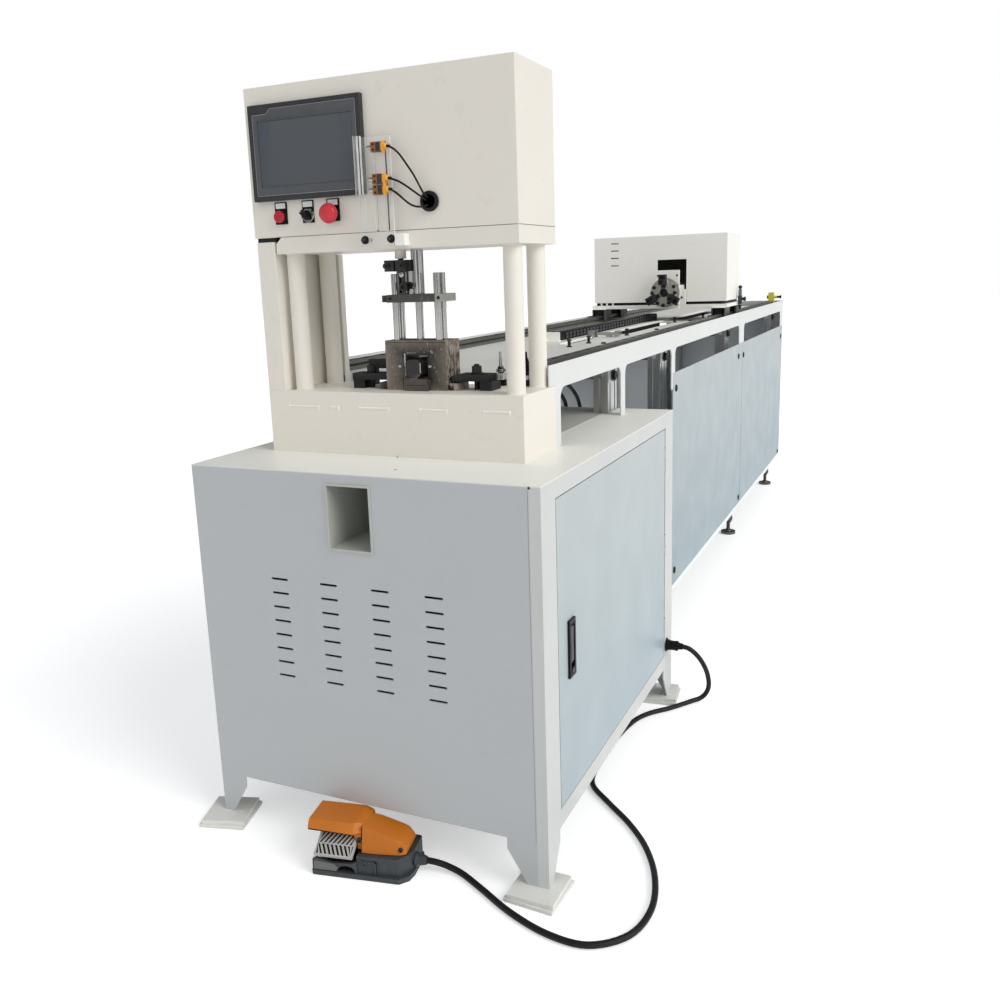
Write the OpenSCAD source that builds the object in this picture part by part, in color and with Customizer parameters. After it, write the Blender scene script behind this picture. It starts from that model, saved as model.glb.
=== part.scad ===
// Tube punching machine: a hydraulic punch head on a sheet-metal cabinet, and
// behind it a long feeder bed on which a carriage with a three-jaw chuck moves
// the tube. X runs across the machine, Y from the operator's side to the rear,
// Z up from the floor. The origin is on the floor under the front-left corner.

/* [Cabinet] */
// Width across the front
cabinet_w = 790; // [780:5:820]
// Depth from front to back
cabinet_d = 970; // [950:10:1000]
// Height of the cabinet top above the floor
cabinet_top = 820; // [815:1:825]
// Height of the cabinet underside above the floor
cabinet_base = 110; // [105:1:115]
// Thickness of the cabinet sheet
sheet = 3; // [2.5:0.5:4]
// Thickness of one packing plate under a leg
plate_t = 8.5; // [8:0.5:9]

/* [Door] */
// Front edge of the door, from the cabinet front
door_y0 = 76; // [70:1:90]
// Rear edge of the door, from the cabinet front
door_y1 = 884.5; // [880:0.5:886]
// Lower edge of the door
door_z0 = 150; // [145:1:160]
// Upper edge of the door
door_z1 = 780; // [770:1:785]
// Depth of the folded door pan
door_t = 18; // [14:1:20]

/* [Punch head] */
// Top of the die table
table_top = 955; // [950:1:960]
// Underside of the head beam
beam_z0 = 1247; // [1240:1:1250]
// Top of the head beam
beam_z1 = 1282; // [1278:1:1290]
// Top of the head cover
hood_top = 1585; // [1560:5:1620]
// Diameter of the four columns
column_d = 38; // [30:1:40]
// Diameter of the chrome ram rod
ram_d = 26; // [24:1:28]
// Diameter of the punch
punch_d = 16; // [10:1:17]
// Diameter of the die guide posts
post_d = 15; // [12:1:15]

/* [Feeder] */
// Rear end of the feeder bed
feeder_y1 = 3820; // [3810:5:3850]
// Top of the feeder side beams
bed_z = 975; // [974:0.5:976]
// Lower edge of the side panels
panel_z0 = 175; // [160:5:200]
// Width of a linear rail
rail_w = 26; // [22:1:26]

/* [Carriage] */
// Front edge of the carriage plate with the carriage at rest
carriage_y = 2385; // [2380:5:2400]
// Height of the chuck axis
chuck_z = 1092; // [1090:1:1095]
// Diameter of the chuck body
chuck_d = 115; // [105:1:116]

/* [Foot pedal] */
// Length of the pedal base
pedal_l = 210; // [205:1:215]
// Width of the pedal base
pedal_w = 104; // [100:1:106]
// Diameter of the pedal cable
cable_d = 13; // [10:0.5:14]

/* [Hidden] */

white = "whitesmoke";
fit = 0.05;             // radial clearance of a running fit
smooth = 64;            // facets of a round form

// Door hinges and lock
hinge_x = cabinet_w - 1;
hinge_y = door_y1 + 3.5;
hinge_z = [230, 465, 700];
lever_pivot = [cabinet_w - 2, 144, 430];

// Die set
die_x = 419;            // punch axis across the machine
die_y = 267;            // punch axis from the cabinet front
die_top = 1060;
window_z0 = 983;
window_z1 = 1029;
plate_z0 = 1139;
plate_z1 = 1155;
post_dx = 50;           // guide posts left and right of the punch axis
post_y = [256, 278];
slug_d = 17;
pin_x = 380;            // guide pin beside the ram rod
pin_d = 12;
stud_x = [288, 544];    // studs of the strap clamps
stud_y = 275;

// Feeder
side_x0 = 75;           // left side of table, head and feeder
side_x1 = 685;          // right side of them
mid_x = (side_x0 + side_x1) / 2;
beam_w = 85;
feeder_y0 = 365;
rail_x = 630;
rail_top = 999;
cross_y = [890, 1430, 2475, 3710];
rail_post_z = panel_z0 + 45;
rack_face = 586;        // root line of the rack teeth
rack_pitch = 18;
support_pivot = [392, 1500, 986];
windows = [[395, 845, 800], [881, 1383, 740], [1427, 2542, 870], [2650, 3740, 870]];

// Control panel
button_z = 1323;
button_x = [145, 213, 275];

// Chuck
chuck_x = die_x;
spindle_d = 50;
pinion_r = 24;
pinion_x = rack_face - 0.6 - pinion_r;
pinion_y = carriage_y + 225;

// Pedal place and turn
pedal_at = [311, -108, 0];
pedal_turn = 10.7;
treadle_pin = [0, 74, 48];

// Cable routes, point by point
lead_d = 4;
grommet = [499, 185, 1334];
lead_top = [[424.5, 156, 1440], [436, 157, 1436], [449, 160, 1424], [462, 163, 1405],
    [474, 166, 1386], [484, 169, 1366], [491, 173, 1350], [496, 179, 1342], [497, 192, 1339]];
lead_middle = [[424.5, 156, 1380], [434, 157, 1378], [446, 159, 1373], [460, 162, 1364],
    [473, 166, 1354], [484, 171, 1345], [491, 178, 1338], [494, 186, 1334], [494, 192, 1333]];
lead_bottom = [[424.5, 156, 1360], [434, 157, 1356], [445, 158, 1348], [457, 160, 1337],
    [469, 163, 1328], [481, 168, 1324], [491, 176, 1325], [496, 184, 1328], [497, 192, 1329]];
floor_z = cable_d / 2 + 0.5;
gland_at = [cabinet_w, 912, 175];
pedal_route = [[836, 912, 175], [854, 914, 170], [874, 922, 150], [889, 936, 119],
    [897, 950, 84], [898, 962, 50], [890, 966, 24], [876, 958, 10], [856, 936, floor_z],
    [811, 873, floor_z], [768, 824, floor_z], [742, 770, floor_z], [728, 690, floor_z],
    [722, 600, floor_z], [722, 510, floor_z], [738, 420, floor_z], [798, 355, floor_z],
    [866, 290, floor_z], [924, 215, floor_z], [966, 125, floor_z], [984, 30, floor_z],
    [966, -55, floor_z], [905, -108, floor_z], [826, -108, floor_z], [740, -78, floor_z],
    [660, -34, floor_z], [605, -6, 8], [570, -4, 16], [548, -10, 23], [529.3, -13.8, 25]];

// ---------------------------------------------------------------- helpers

// Box between its lowest and its highest corner
module block(lo, hi) { translate(lo) cube(hi - lo); }

// Round bar along Z, Y or X from one end to the other
module rod_z(x, y, z0, z1, d) { translate([x, y, z0]) cylinder(d = d, h = z1 - z0, $fn = smooth); }
module rod_y(x, z, y0, y1, d) {
    translate([x, y1, z]) rotate([90, 0, 0]) cylinder(d = d, h = y1 - y0, $fn = smooth);
}
module rod_x(y, z, x0, x1, d) {
    translate([x0, y, z]) rotate([0, 90, 0]) cylinder(d = d, h = x1 - x0, $fn = smooth);
}

// Outline given in Y and Z, as thick as t, its left face at x
module plate_yz(x, t) { translate([x, 0, 0]) rotate([90, 0, 90]) linear_extrude(t) children(); }

// Outline given in X and Z, as thick as t, its front face at y
module plate_xz(y, t) { translate([0, y + t, 0]) rotate([90, 0, 0]) linear_extrude(t) children(); }

// The same piece on both sides of the feeder
module both_sides() {
    children();
    translate([2 * mid_x, 0, 0]) mirror([1, 0, 0]) children();
}

function unit(v) = v / norm(v);
function level(n, t) = unit(n - (n * t) * t);

// Catmull-Rom curve through the points of a route
function blend(a, b, c, d, s) =
    0.5 * (2 * b + (c - a) * s + (2 * a - 5 * b + 4 * c - d) * s * s
        + (3 * b - a - 3 * c + d) * s * s * s);
function curve(p, steps) = let (n = len(p) - 1) concat(
    [for (i = [0 : n - 1], k = [0 : steps - 1])
        blend(p[max(i - 1, 0)], p[i], p[i + 1], p[min(i + 2, n)], k / steps)],
    [p[n]]);

// Tube swept along a route with a cross-section carried on without twist
module cable(route, d, sides, steps) {
    p = curve(route, steps);
    last = len(p) - 1;
    t = [for (i = [0 : last]) unit(p[min(i + 1, last)] - p[max(i - 1, 0)])];
    normals = [for (i = 0, n = level([0.1, 0.2, 1], t[0]); i <= last;
        i = i + 1, n = level(n, t[min(i, last)])) n];
    points = [for (i = [0 : last], k = [0 : sides - 1]) let (a = 360 * k / sides)
        p[i] + d / 2 * (cos(a) * normals[i] + sin(a) * cross(t[i], normals[i]))];
    skin = [for (i = [0 : last - 1], k = [0 : sides - 1]) let (m = (k + 1) % sides)
        [i * sides + k, i * sides + m, (i + 1) * sides + m, (i + 1) * sides + k]];
    start = [[for (k = [sides - 1 : -1 : 0]) k]];
    end = [[for (k = [0 : sides - 1]) last * sides + k]];
    polyhedron(points, [for (f = concat(start, skin, end)) [for (k = [len(f) - 1 : -1 : 0]) f[k]]]);
}

// ---------------------------------------------------------------- cabinet

// Outline of one flange of a folded leg
module leg_outline(wide, toe) {
    polygon([[0, 2 * plate_t], [toe, 2 * plate_t], [wide, cabinet_base - 24],
        [wide, cabinet_base + 1], [0, cabinet_base + 1]]);
}

// Leg folded from one sheet, its corner at the origin
module leg() {
    plate_xz(0, sheet) leg_outline(66, 24);
    plate_yz(0, sheet) leg_outline(87, 45);
}

module vents() {
    columns_x = [205, 325, 445, 565];
    for (x = columns_x, row = [0 : 7])
        block([x - 20, -1, 371.5 + 30.5 * row], [x + 20, sheet + 1, 376.5 + 30.5 * row]);
}

module cabinet_body() {
    jamb = 20;
    hinge_gap = 7.5;
    color(white) {
        difference() {
            block([0, 0, cabinet_base], [cabinet_w, cabinet_d, cabinet_top]);
            block([sheet, sheet, cabinet_base + sheet],
                [cabinet_w - sheet, cabinet_d - sheet, cabinet_top - sheet]);
            block([cabinet_w - sheet - 1, door_y0 - 2.5, door_z0 - 2.5],
                [cabinet_w + 1, door_y1 + hinge_gap, door_z1 + 2.5]);
            block([333, -1, 662], [438, sheet + 1, 800]);
            block([cabinet_w - 25.6, -1, cabinet_base - 1], [cabinet_w - 24.4, 1.2, cabinet_top - 12]);
            rod_z(die_x, die_y, cabinet_top - sheet - 1, cabinet_top + 1, 60);
            rod_x(gland_at[1], gland_at[2], cabinet_w - sheet - 1, cabinet_w + 1, 20);
            vents();
        }
        difference() {
            block([cabinet_w - sheet - jamb, door_y0 - 5.5, door_z0 - 5.5],
                [cabinet_w - sheet, door_y1 + hinge_gap + 3, door_z1 + 5.5]);
            block([cabinet_w - sheet - jamb - 1, door_y0 - 2.5, door_z0 - 2.5],
                [cabinet_w, door_y1 + hinge_gap, door_z1 + 2.5]);
        }
        leg();
        translate([cabinet_w, 0, 0]) rotate(90) leg();
        translate([cabinet_w, cabinet_d, 0]) rotate(180) leg();
        translate([0, cabinet_d, 0]) rotate(270) leg();
    }
}

// Packing plates under the legs, each a little askew
module foot_plates() {
    places = [[11, 4, 15], [766, 7, -4], [762, 952, 6], [20, 950, -8]];
    color("gainsboro") for (p = places) translate([p[0], p[1], 0]) rotate(p[2]) {
        translate([-52, -55, 0]) cube([104, 110, plate_t - 0.5]);
        rotate(3) translate([-49, -51, plate_t - 0.5]) cube([98, 102, plate_t + 0.5]);
    }
}

// Duct that leads the slugs from under the die to the front
module slug_chute() {
    wall = 2.5;
    depth = 330;
    color(white) {
        difference() {
            block([333, -3, 662], [438, 0, 800]);
            block([338, -4, 667], [433, 1, 795]);
        }
        difference() {
            block([333.4, 0, 662.4], [437.6, depth, 799.6]);
            block([338, -1, 667], [433, depth - wall, 795]);
            rod_z(die_x - 12, die_y, 790, 801, 48);
        }
    }
}

module cabinet_door() {
    color(white) {
        difference() {
            block([cabinet_w - door_t, door_y0, door_z0], [cabinet_w, door_y1, door_z1]);
            block([cabinet_w - door_t - 1, door_y0 + 2, door_z0 + 2],
                [cabinet_w - 2, door_y1 - 2, door_z1 - 2]);
            block([cabinet_w - 3, 130, 408], [cabinet_w + 1, 158, 518]);
        }
        for (z = hinge_z) difference() {
            union() {
                rod_z(hinge_x, hinge_y, z + 0.3, z + 30, 7);
                block([hinge_x - 2.5, hinge_y - 8, z + 0.3], [hinge_x - 0.5, hinge_y, z + 30]);
            }
            rod_z(hinge_x, hinge_y, z - 1, z + 31, 4 + 2 * fit);
        }
    }
}

// Lower hinge halves on the cabinet with the pins that the door turns on
module hinge_pins() {
    color("silver") for (z = hinge_z) {
        rod_z(hinge_x, hinge_y, z - 30, z, 7);
        rod_z(hinge_x, hinge_y, z - 1, z + 28, 4);
        block([hinge_x - 2, hinge_y, z - 30], [hinge_x - 0.5, hinge_y + 4, z]);
    }
}

// Lock housing let into the door, with a recess for its lever
module door_lock() {
    color("black") difference() {
        union() {
            block([cabinet_w, 126, 403], [cabinet_w + 5, 162, 523]);
            block([cabinet_w - 17, 130.3, 408.3], [cabinet_w, 157.7, 517.7]);
        }
        block([cabinet_w - 8, 134, 422], [cabinet_w + 6, 154, 512]);
    }
}

module lock_lever() {
    color("dimgray") {
        block([cabinet_w - 5, 136, 434], [cabinet_w + 4, 152, 508]);
        rod_y(lever_pivot[0], lever_pivot[2], lever_pivot[1] - 9.7, lever_pivot[1] + 9.7, 6);
    }
}

// Gland of the pedal cable with its tapered strain relief
module cable_gland() {
    color("black") translate(gland_at) rotate([0, 90, 0]) difference() {
        union() {
            translate([0, 0, -12]) cylinder(d = 19.8, h = 13, $fn = smooth);
            translate([0, 0, -6]) cylinder(d = 30, h = 6 - sheet, $fn = 12);
            cylinder(d = 30, h = 9, $fn = 12);
            translate([0, 0, 9]) cylinder(d = 26, h = 15, $fn = smooth);
            translate([0, 0, 24]) cylinder(d1 = 23, d2 = 16, h = 22, $fn = smooth);
        }
        translate([0, 0, -13]) cylinder(d = 9, h = 14, $fn = smooth);
    }
}

// Oil tank with its filler, and on its lid the motor, the pump and the valves
module hydraulic_unit() {
    color("steelblue") {
        difference() {
            block([60, 480, cabinet_base + sheet], [430, 900, 400]);
            block([63, 483, cabinet_base + 2 * sheet], [427, 897, 401]);
        }
        difference() {
            block([55, 475, 400], [435, 905, 406]);
            rod_z(180, 690, 399, 407, 90);
        }
        rod_z(370, 820, 406, 440, 46);
    }
    color("slategray") {
        rod_z(180, 690, 406, 420, 160);
        rod_z(180, 690, 420, 610, 130);
        rod_z(180, 690, 610, 640, 136);
        rod_z(180, 690, 260, 406, 84);
        block([242, 660, 450], [300, 720, 520]);
        block([310, 520, 406], [400, 640, 500]);
        block([325, 545, 500], [355, 615, 560]);
    }
}

// Rear plate with the drive, the power supply and the relays
module control_plate() {
    color("lightgray") {
        block([460, 940, 200], [760, 943, 760]);
        block([480, 860, 560], [560, 940, 730]);
        block([580, 880, 580], [640, 940, 720]);
        block([660, 890, 600], [740, 940, 700]);
        block([480, 900, 440], [740, 940, 500]);
        block([480, 905, 300], [740, 940, 350]);
        for (x = [480, 740]) block([x - 6, 943, 220], [x + 6, cabinet_d - sheet, 740]);
    }
}

// ---------------------------------------------------------------- punch head

module table_box() {
    wall = 6;
    welds = [[128, 202], [236, 253], [309, 377], [454, 514], [599, 654]];
    color(white) difference() {
        block([side_x0, 185, cabinet_top], [side_x1, feeder_y0, table_top]);
        block([side_x0 + wall, 185 + wall, cabinet_top - 1],
            [side_x1 - wall, feeder_y0 - wall, table_top - 22]);
        rod_z(die_x, die_y, table_top - 23, table_top + 1, 30);
        for (x = stud_x) rod_z(x, stud_y, table_top - 23, table_top + 1, 12.2);
        for (w = welds) block([w[0], 184, 921.4], [w[1], 185.5, 922.6]);
    }
}

// Cable duct on the left, from the table to just under the head cover
module side_duct() {
    wall = 2.5;
    duct_top = 1273;
    color(white) {
        difference() {
            block([side_x0, 185, table_top], [120, 385, duct_top]);
            block([side_x0 + wall, 185 + wall, table_top + 2],
                [120 - wall, 385 - wall, duct_top + 1]);
            block([side_x0 - 1, feeder_y0, table_top - 1], [121, 386, 1000.5]);
        }
        block([120, 367, table_top + 20], [160, 385, beam_z0 - 1]);
    }
}

module columns() {
    color("gainsboro") for (x = [149, 657], y = [218, 338]) rod_z(x, y, table_top, beam_z0, column_d);
}

// Beam with the bush under it that keeps the punch holder from turning
module head_beam() {
    chamfer = 14;
    color(white) difference() {
        union() {
            plate_xz(185, 195) polygon([[125, beam_z0], [side_x1, beam_z0], [side_x1, beam_z1],
                [125 + chamfer, beam_z1], [125, beam_z1 - chamfer]]);
            rod_z(pin_x, die_y, beam_z0 - 18, beam_z0 + 1, 24);
        }
        rod_z(die_x, die_y, beam_z0 - 1, beam_z1 + 1, ram_d + 2 * fit);
        rod_z(pin_x, die_y, beam_z0 - 19, beam_z1 + 1, pin_d + 2 * fit);
    }
}

module head_hood() {
    hood_x0 = 71;
    t = 2.5;
    color(white) difference() {
        block([hood_x0, 185, beam_z1], [side_x1, 380, hood_top]);
        block([hood_x0 + t, 185 + t, beam_z1 + t], [side_x1 - t, 380 - t, hood_top - t]);
        block([129, 188, beam_z1 - 1], [side_x1 - 4, 376, beam_z1 + t + 1]);
        block([108, 184, 1370], [320, 185 + t + 1, 1530]);
        for (x = button_x) rod_y(x, button_z, 184, 185 + t + 1, 22.4);
        rod_y(grommet[0], grommet[2], 184, 185 + t + 1, 32);
    }
}

// Cylinder bolted to the beam, bored for the piston and the rod
module hydraulic_cylinder() {
    color("dimgray") difference() {
        union() {
            block([die_x - 60, die_y - 55, beam_z1], [die_x + 60, die_y + 55, beam_z1 + 18]);
            rod_z(die_x, die_y, beam_z1 + 18, 1510, 92);
            rod_z(die_x, die_y, 1510, 1530, 100);
        }
        rod_z(die_x, die_y, beam_z1 - 1, beam_z1 + 30, ram_d + 2 * fit);
        rod_z(die_x, die_y, beam_z1 + 28, 1505, 70);
    }
}

module ram_rod() {
    color("silver") {
        rod_z(die_x, die_y, plate_z1, 1445, ram_d);
        rod_z(die_x, die_y, 1440, 1470, 70 - 2 * fit);
    }
}

// Split collar with its guide pin and two clamping screws
module ram_collar() {
    color([0.13, 0.13, 0.14]) {
        difference() {
            block([353, 243, 1203], [403, 291, 1226]);
            block([376, 242, 1202], [379, 258, 1227]);
        }
        rod_x(250, 1214.5, 348, 353, 10);
        rod_x(284, 1214.5, 348, 353, 10);
        rod_z(pin_x, die_y, 1226, 1280, pin_d);
    }
}

module punch_holder() {
    color("dimgray") difference() {
        union() {
            block([377, 251, plate_z1], [404, 284, 1203]);
            rod_y(397, 1171, 241, 251, 18);
        }
        block([382, 250, plate_z1 + 3], [388, 262, 1196]);
        rod_y(397, 1171, 240, 246, 9);
    }
}

module top_plate() {
    color("dimgray") difference() {
        union() {
            block([356, 240, plate_z0], [488, 303, plate_z1]);
            block([342, 245, plate_z0 + 1], [356, 298, plate_z1 - 1]);
        }
        rod_z(die_x, die_y, plate_z0 - 1, plate_z0 + 8, punch_d);
        for (x = [-1, 1], y = post_y) rod_z(die_x + x * post_dx, y, plate_z0 - 1, plate_z1 + 1, post_d);
    }
}

module punch() { color("silver") rod_z(die_x, die_y, 1050, plate_z0 + 8, punch_d); }

// Posts carried by the top plate, sliding in the die block
module guide_posts() {
    color("silver") for (x = [-1, 1], y = post_y) rod_z(die_x + x * post_dx, y, 1018, 1198, post_d);
}

module die_block() {
    flange = 22;
    color([0.33, 0.29, 0.27]) difference() {
        union() {
            block([346, 240, table_top], [492, 302, die_top]);
            block([346 - flange, 246, table_top], [346, 296, table_top + 15]);
            block([492, 246, table_top], [492 + flange, 296, table_top + 15]);
        }
        block([395, 239, window_z0], [447, 303, window_z1]);
        rod_z(die_x, die_y, window_z1 - 1, die_top + 1, punch_d + 2 * fit);
        rod_z(die_x, die_y, table_top - 1, window_z0 + 1, 24);
        for (x = [-1, 1], y = post_y)
            rod_z(die_x + x * post_dx, y, 960, die_top + 1, post_d + 2 * fit);
    }
}

// Bar that carries the tube inside the die window, on a foot in front of it
module mandrel() {
    w = 36;
    h = 36;
    r = 9;
    z0 = 985;
    color([0.16, 0.16, 0.17]) difference() {
        union() {
            plate_xz(226, 78) {
                translate([die_x - w / 2, z0 + r]) square([w, h - 2 * r]);
                translate([die_x - w / 2 + r, z0]) square([w - 2 * r, h]);
                for (x = [-1, 1], z = [z0 + r, z0 + h - r])
                    translate([die_x + x * (w / 2 - r), z]) circle(r = r, $fn = 32);
            }
            block([die_x - 10, 227, table_top], [die_x + 10, 239.5, z0 + 4]);
            block([die_x - 22, 226, table_top], [die_x + 32, 239.5, table_top + 25]);
        }
        rod_z(die_x, die_y, z0 - 1, z0 + h + 1, slug_d);
    }
}

// Straps, heels, studs and nuts that hold the die block down
module strap_clamps() {
    color([0.14, 0.15, 0.16]) {
        strap_z = table_top + 19;
        difference() {
            plate_xz(255, 40) polygon([[250, strap_z], [343, strap_z], [343, strap_z + 10],
                [330, strap_z + 14], [250, strap_z + 14]]);
            rod_z(stud_x[0], stud_y, strap_z - 1, strap_z + 15, 12);
        }
        block([252, 255, table_top], [280, 295, strap_z]);
        difference() {
            plate_xz(252, 45) polygon([[495, strap_z], [580, strap_z], [580, strap_z + 14],
                [508, strap_z + 14], [495, strap_z + 10]]);
            rod_z(stud_x[1], stud_y, strap_z - 1, strap_z + 15, 12);
        }
        block([560, 252, table_top], [588, 297, strap_z]);
        for (x = stud_x) {
            rod_z(x, stud_y, table_top - 22, 1007, 12);
            translate([x, stud_y, strap_z + 14]) cylinder(d = 20, h = 16, $fn = 6);
        }
        block([252, 322, table_top + 37], [345, 338, table_top + 57]);
        block([252, 320, table_top], [268, 340, table_top + 37]);
    }
}

// Pair of light sensors that find the tube end behind the die
module tube_sensors() {
    color("black") {
        for (x = [553, 612]) {
            block([x, 340, table_top], [x + 24, 362, table_top + 12]);
            block([x + 8, 344, table_top + 12], [x + 16, 358, table_top + 40]);
            rod_z(x + 12, 351, table_top + 40, table_top + 72, 5);
        }
    }
}

// ---------------------------------------------------------------- controls

// Touch panel, its screen set back behind the frame
module hmi_panel() {
    color([0.2, 0.21, 0.22]) difference() {
        union() {
            block([86, 173, 1356], [358, 185, 1548]);
            block([110, 185, 1372], [318, 215, 1528]);
        }
        block([109, 172, 1384], [338, 174, 1515]);
    }
}

// Legend plate, bezel ring and threaded body of each button
module button_bodies() {
    legend_w = [30, 28, 30];
    color("black") for (i = [0 : 2]) {
        x = button_x[i];
        difference() {
            union() {
                block([x - legend_w[i] / 2, 182.5, button_z - 15], [x + legend_w[i] / 2, 185, button_z + 30]);
                rod_y(x, button_z, 178, 182.5, 28);
                rod_y(x, button_z, 185, 225, 22);
            }
            rod_y(x, button_z, 177, 205, 18 + 2 * fit);
            if (i == 0) rod_y(x, button_z, 177, 182.4, 25.2);
        }
    }
}

module red_button() {
    color("red") {
        rod_y(button_x[0], button_z, 173.5, 178.3, 24.4);
        rod_y(button_x[0], button_z, 178, 199, 18);
    }
}

module selector_knob() {
    color("black") translate([button_x[1], 0, button_z]) rotate([0, -45, 0]) {
        translate([0, 199, 0]) rotate([90, 0, 0]) cylinder(d = 18, h = 23, $fn = smooth);
        translate([-4, 164, -11]) cube([8, 12, 22]);
    }
}

module estop_head() {
    color("red") translate([button_x[2], 0, button_z]) rotate([90, 0, 0]) {
        translate([0, 0, -197]) cylinder(d = 18, h = 28, $fn = smooth);
        translate([0, 0, -170]) rotate_extrude($fn = smooth) polygon([[0, 0], [18, 0], [20, 3],
            [20, 8], [18, 13], [13, 17], [6, 19], [0, 19.5]]);
    }
}

// Clear plate with two adjusting slots, on two stand-off screws
module sensor_bracket() {
    y0 = 163;
    color("gainsboro") {
        difference() {
            block([351, y0, 1253], [428, y0 + 2.5, 1462]);
            block([415.5, y0 - 1, 1282], [418.5, y0 + 4, 1452]);
            block([389.5, y0 - 1, 1284], [392, y0 + 4, 1452]);
        }
        block([351, y0 - 12, 1353], [354, y0, 1464]);
        block([354, y0 - 4, 1353], [363, y0, 1464]);
        block([425, y0 + 2.5, 1253], [449, 185, 1275]);
    }
    color("black") for (x = [360, 420]) {
        rod_y(x, 1266, y0 - 7, y0, 12);
        rod_y(x, 1266, y0 + 2.5, 185, 8);
    }
}

module ram_sensors() {
    color("darkorange") for (z = [1440, 1380.5, 1360]) {
        block([391, 150, z - 9.5], [424, 163, z + 9.5]);
        rod_x(156.5, z, 380, 391, 8);
        rod_x(156, z, 424, 424.5, 6);
    }
}

module sensor_lead_top() { color("black") cable(lead_top, lead_d, 8, 2); }
module sensor_lead_middle() { color("black") cable(lead_middle, lead_d, 8, 2); }
module sensor_lead_bottom() { color("black") cable(lead_bottom, lead_d, 8, 2); }

module cable_grommet() {
    color("black") difference() {
        union() {
            rod_y(grommet[0], grommet[2], 180, 185, 39);
            rod_y(grommet[0], grommet[2], 185, 191, 31.8);
        }
        rod_y(grommet[0], grommet[2], 179, 192, 25);
    }
}

// ---------------------------------------------------------------- feeder

// Window outline with rounded upper corners
module window_outline(y0, y1, z0, z1) {
    r = 26;
    translate([y0, z0]) square([y1 - y0, z1 - r - z0]);
    translate([y0 + r, z1 - r - 1]) square([y1 - y0 - 2 * r, r + 1]);
    for (y = [y0 + r, y1 - r]) translate([y, z1 - r]) circle(r = r, $fn = 32);
}

// Box beam with the outer skin that forms the lip and the window posts
module side_beam() {
    skin = 4;
    difference() {
        union() {
            block([side_x1 - beam_w, feeder_y0, 947], [side_x1, feeder_y1 - 4, bed_z]);
            block([side_x1 - skin, feeder_y0, 870], [side_x1, feeder_y1 - 4, 1000]);
            block([side_x1 - skin, feeder_y0, cabinet_top], [side_x1, 1400, 870]);
        }
        block([side_x1 - beam_w + 3, feeder_y0 - 1, 950], [side_x1 - skin, feeder_y1, bed_z - 3]);
        for (w = windows) plate_yz(side_x1 - skin - 1, skin + 2) window_outline(w[0], w[1], w[2], 946.9);
    }
}

module side_beams() {
    color(white) {
        both_sides() side_beam();
        block([side_x1 - 4, 330, table_top + 0.3], [side_x1, feeder_y0, 1000]);
    }
}

// Square tube along Y or X
module tube_y(x, z, y0, y1, w) {
    difference() {
        block([x, y0, z], [x + w, y1, z + w]);
        block([x + 3, y0 + 3, z + 3], [x + w - 3, y1 - 3, z + w - 3]);
    }
}
module tube_x(y, z, x0, x1, w) {
    difference() {
        block([x0, y, z], [x1, y + w, z + w]);
        block([x0 + 3, y + 3, z + 3], [x1 - 3, y + w - 3, z + w - 3]);
    }
}

// Lower rails, cross tubes and the bars that carry the bed
module base_frame() {
    color(white) {
        both_sides() tube_y(601, panel_z0 + 5, cabinet_d, feeder_y1 - 4, 40);
        for (y = [cabinet_d + 40, 2700, feeder_y1 - 50]) tube_x(y, panel_z0 + 5, 159, 601, 40);
        for (y = cross_y) tube_x(y, 907, 159, 601, 40);
    }
}

// Section of a slotted aluminium profile, 40 by 80
module profile_section() {
    difference() {
        square([40, 80]);
        for (y = [20, 60]) {
            translate([-1, y - 4]) square([7, 8]);
            translate([34, y - 4]) square([7, 8]);
        }
        translate([16, -1]) square([8, 7]);
        translate([16, 74]) square([8, 7]);
    }
}

module profile_posts() {
    posts = [[870, cabinet_top], [1410, rail_post_z], [2455, rail_post_z], [3690, rail_post_z]];
    color("silver") both_sides() for (p = posts) {
        translate([601, p[0], p[1]]) linear_extrude(947 - p[1]) profile_section();
        plate_yz(615, 12) polygon([[p[0] - 34, 947], [p[0], 913], [p[0], 947]]);
    }
}

// Side and rear cover panels
module side_panels() {
    skin = 4;
    right = [[cabinet_d + 3, 1400, 740], [1403, 2622, 869.5], [2628, feeder_y1 - 4.5, 869.5]];
    color(white) {
        both_sides() for (p = right) {
            block([side_x1 - skin, p[0], panel_z0], [side_x1, p[1], p[2]]);
            block([641, p[0] + 4, panel_z0], [side_x1 - skin, p[1] - 4, panel_z0 + 3]);
        }
        block([side_x0, feeder_y1 - 4, panel_z0], [side_x1, feeder_y1, 1000]);
    }
}

// Folded bed sheet with its slots, and the deck behind the table
module bed_plate() {
    t = 3;
    y0 = 1180;
    y1 = feeder_y1 - 30;
    z = bed_z - t;
    bed_slots = [[1215, 1470, 412], [1640, 2330, 466], [2500, 3250, 466]];
    color(white) {
        difference() {
            block([160, 390, 947], [600, y0, bed_z]);
            block([160 + t, 389, 946], [600 - t, y0 + 1, z]);
            block([369.5, 389, bed_z - 0.8], [370.5, y0 + 1, bed_z + 1]);
        }
        difference() {
            block([160, y0, 947], [584, y1, bed_z]);
            block([160 + t, y0 - 1, 946], [584 - t, y1 + 1, z]);
            for (p = bed_slots) block([402, p[0], z - 1], [p[2], p[1], bed_z + 1]);
        }
    }
    color("black") for (p = [[515, 1230], [515, 1850], [515, 2380], [515, 3020], [210, 1230], [210, 2380]])
        rod_z(p[0], p[1], bed_z, bed_z + 3, 14);
}

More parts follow.
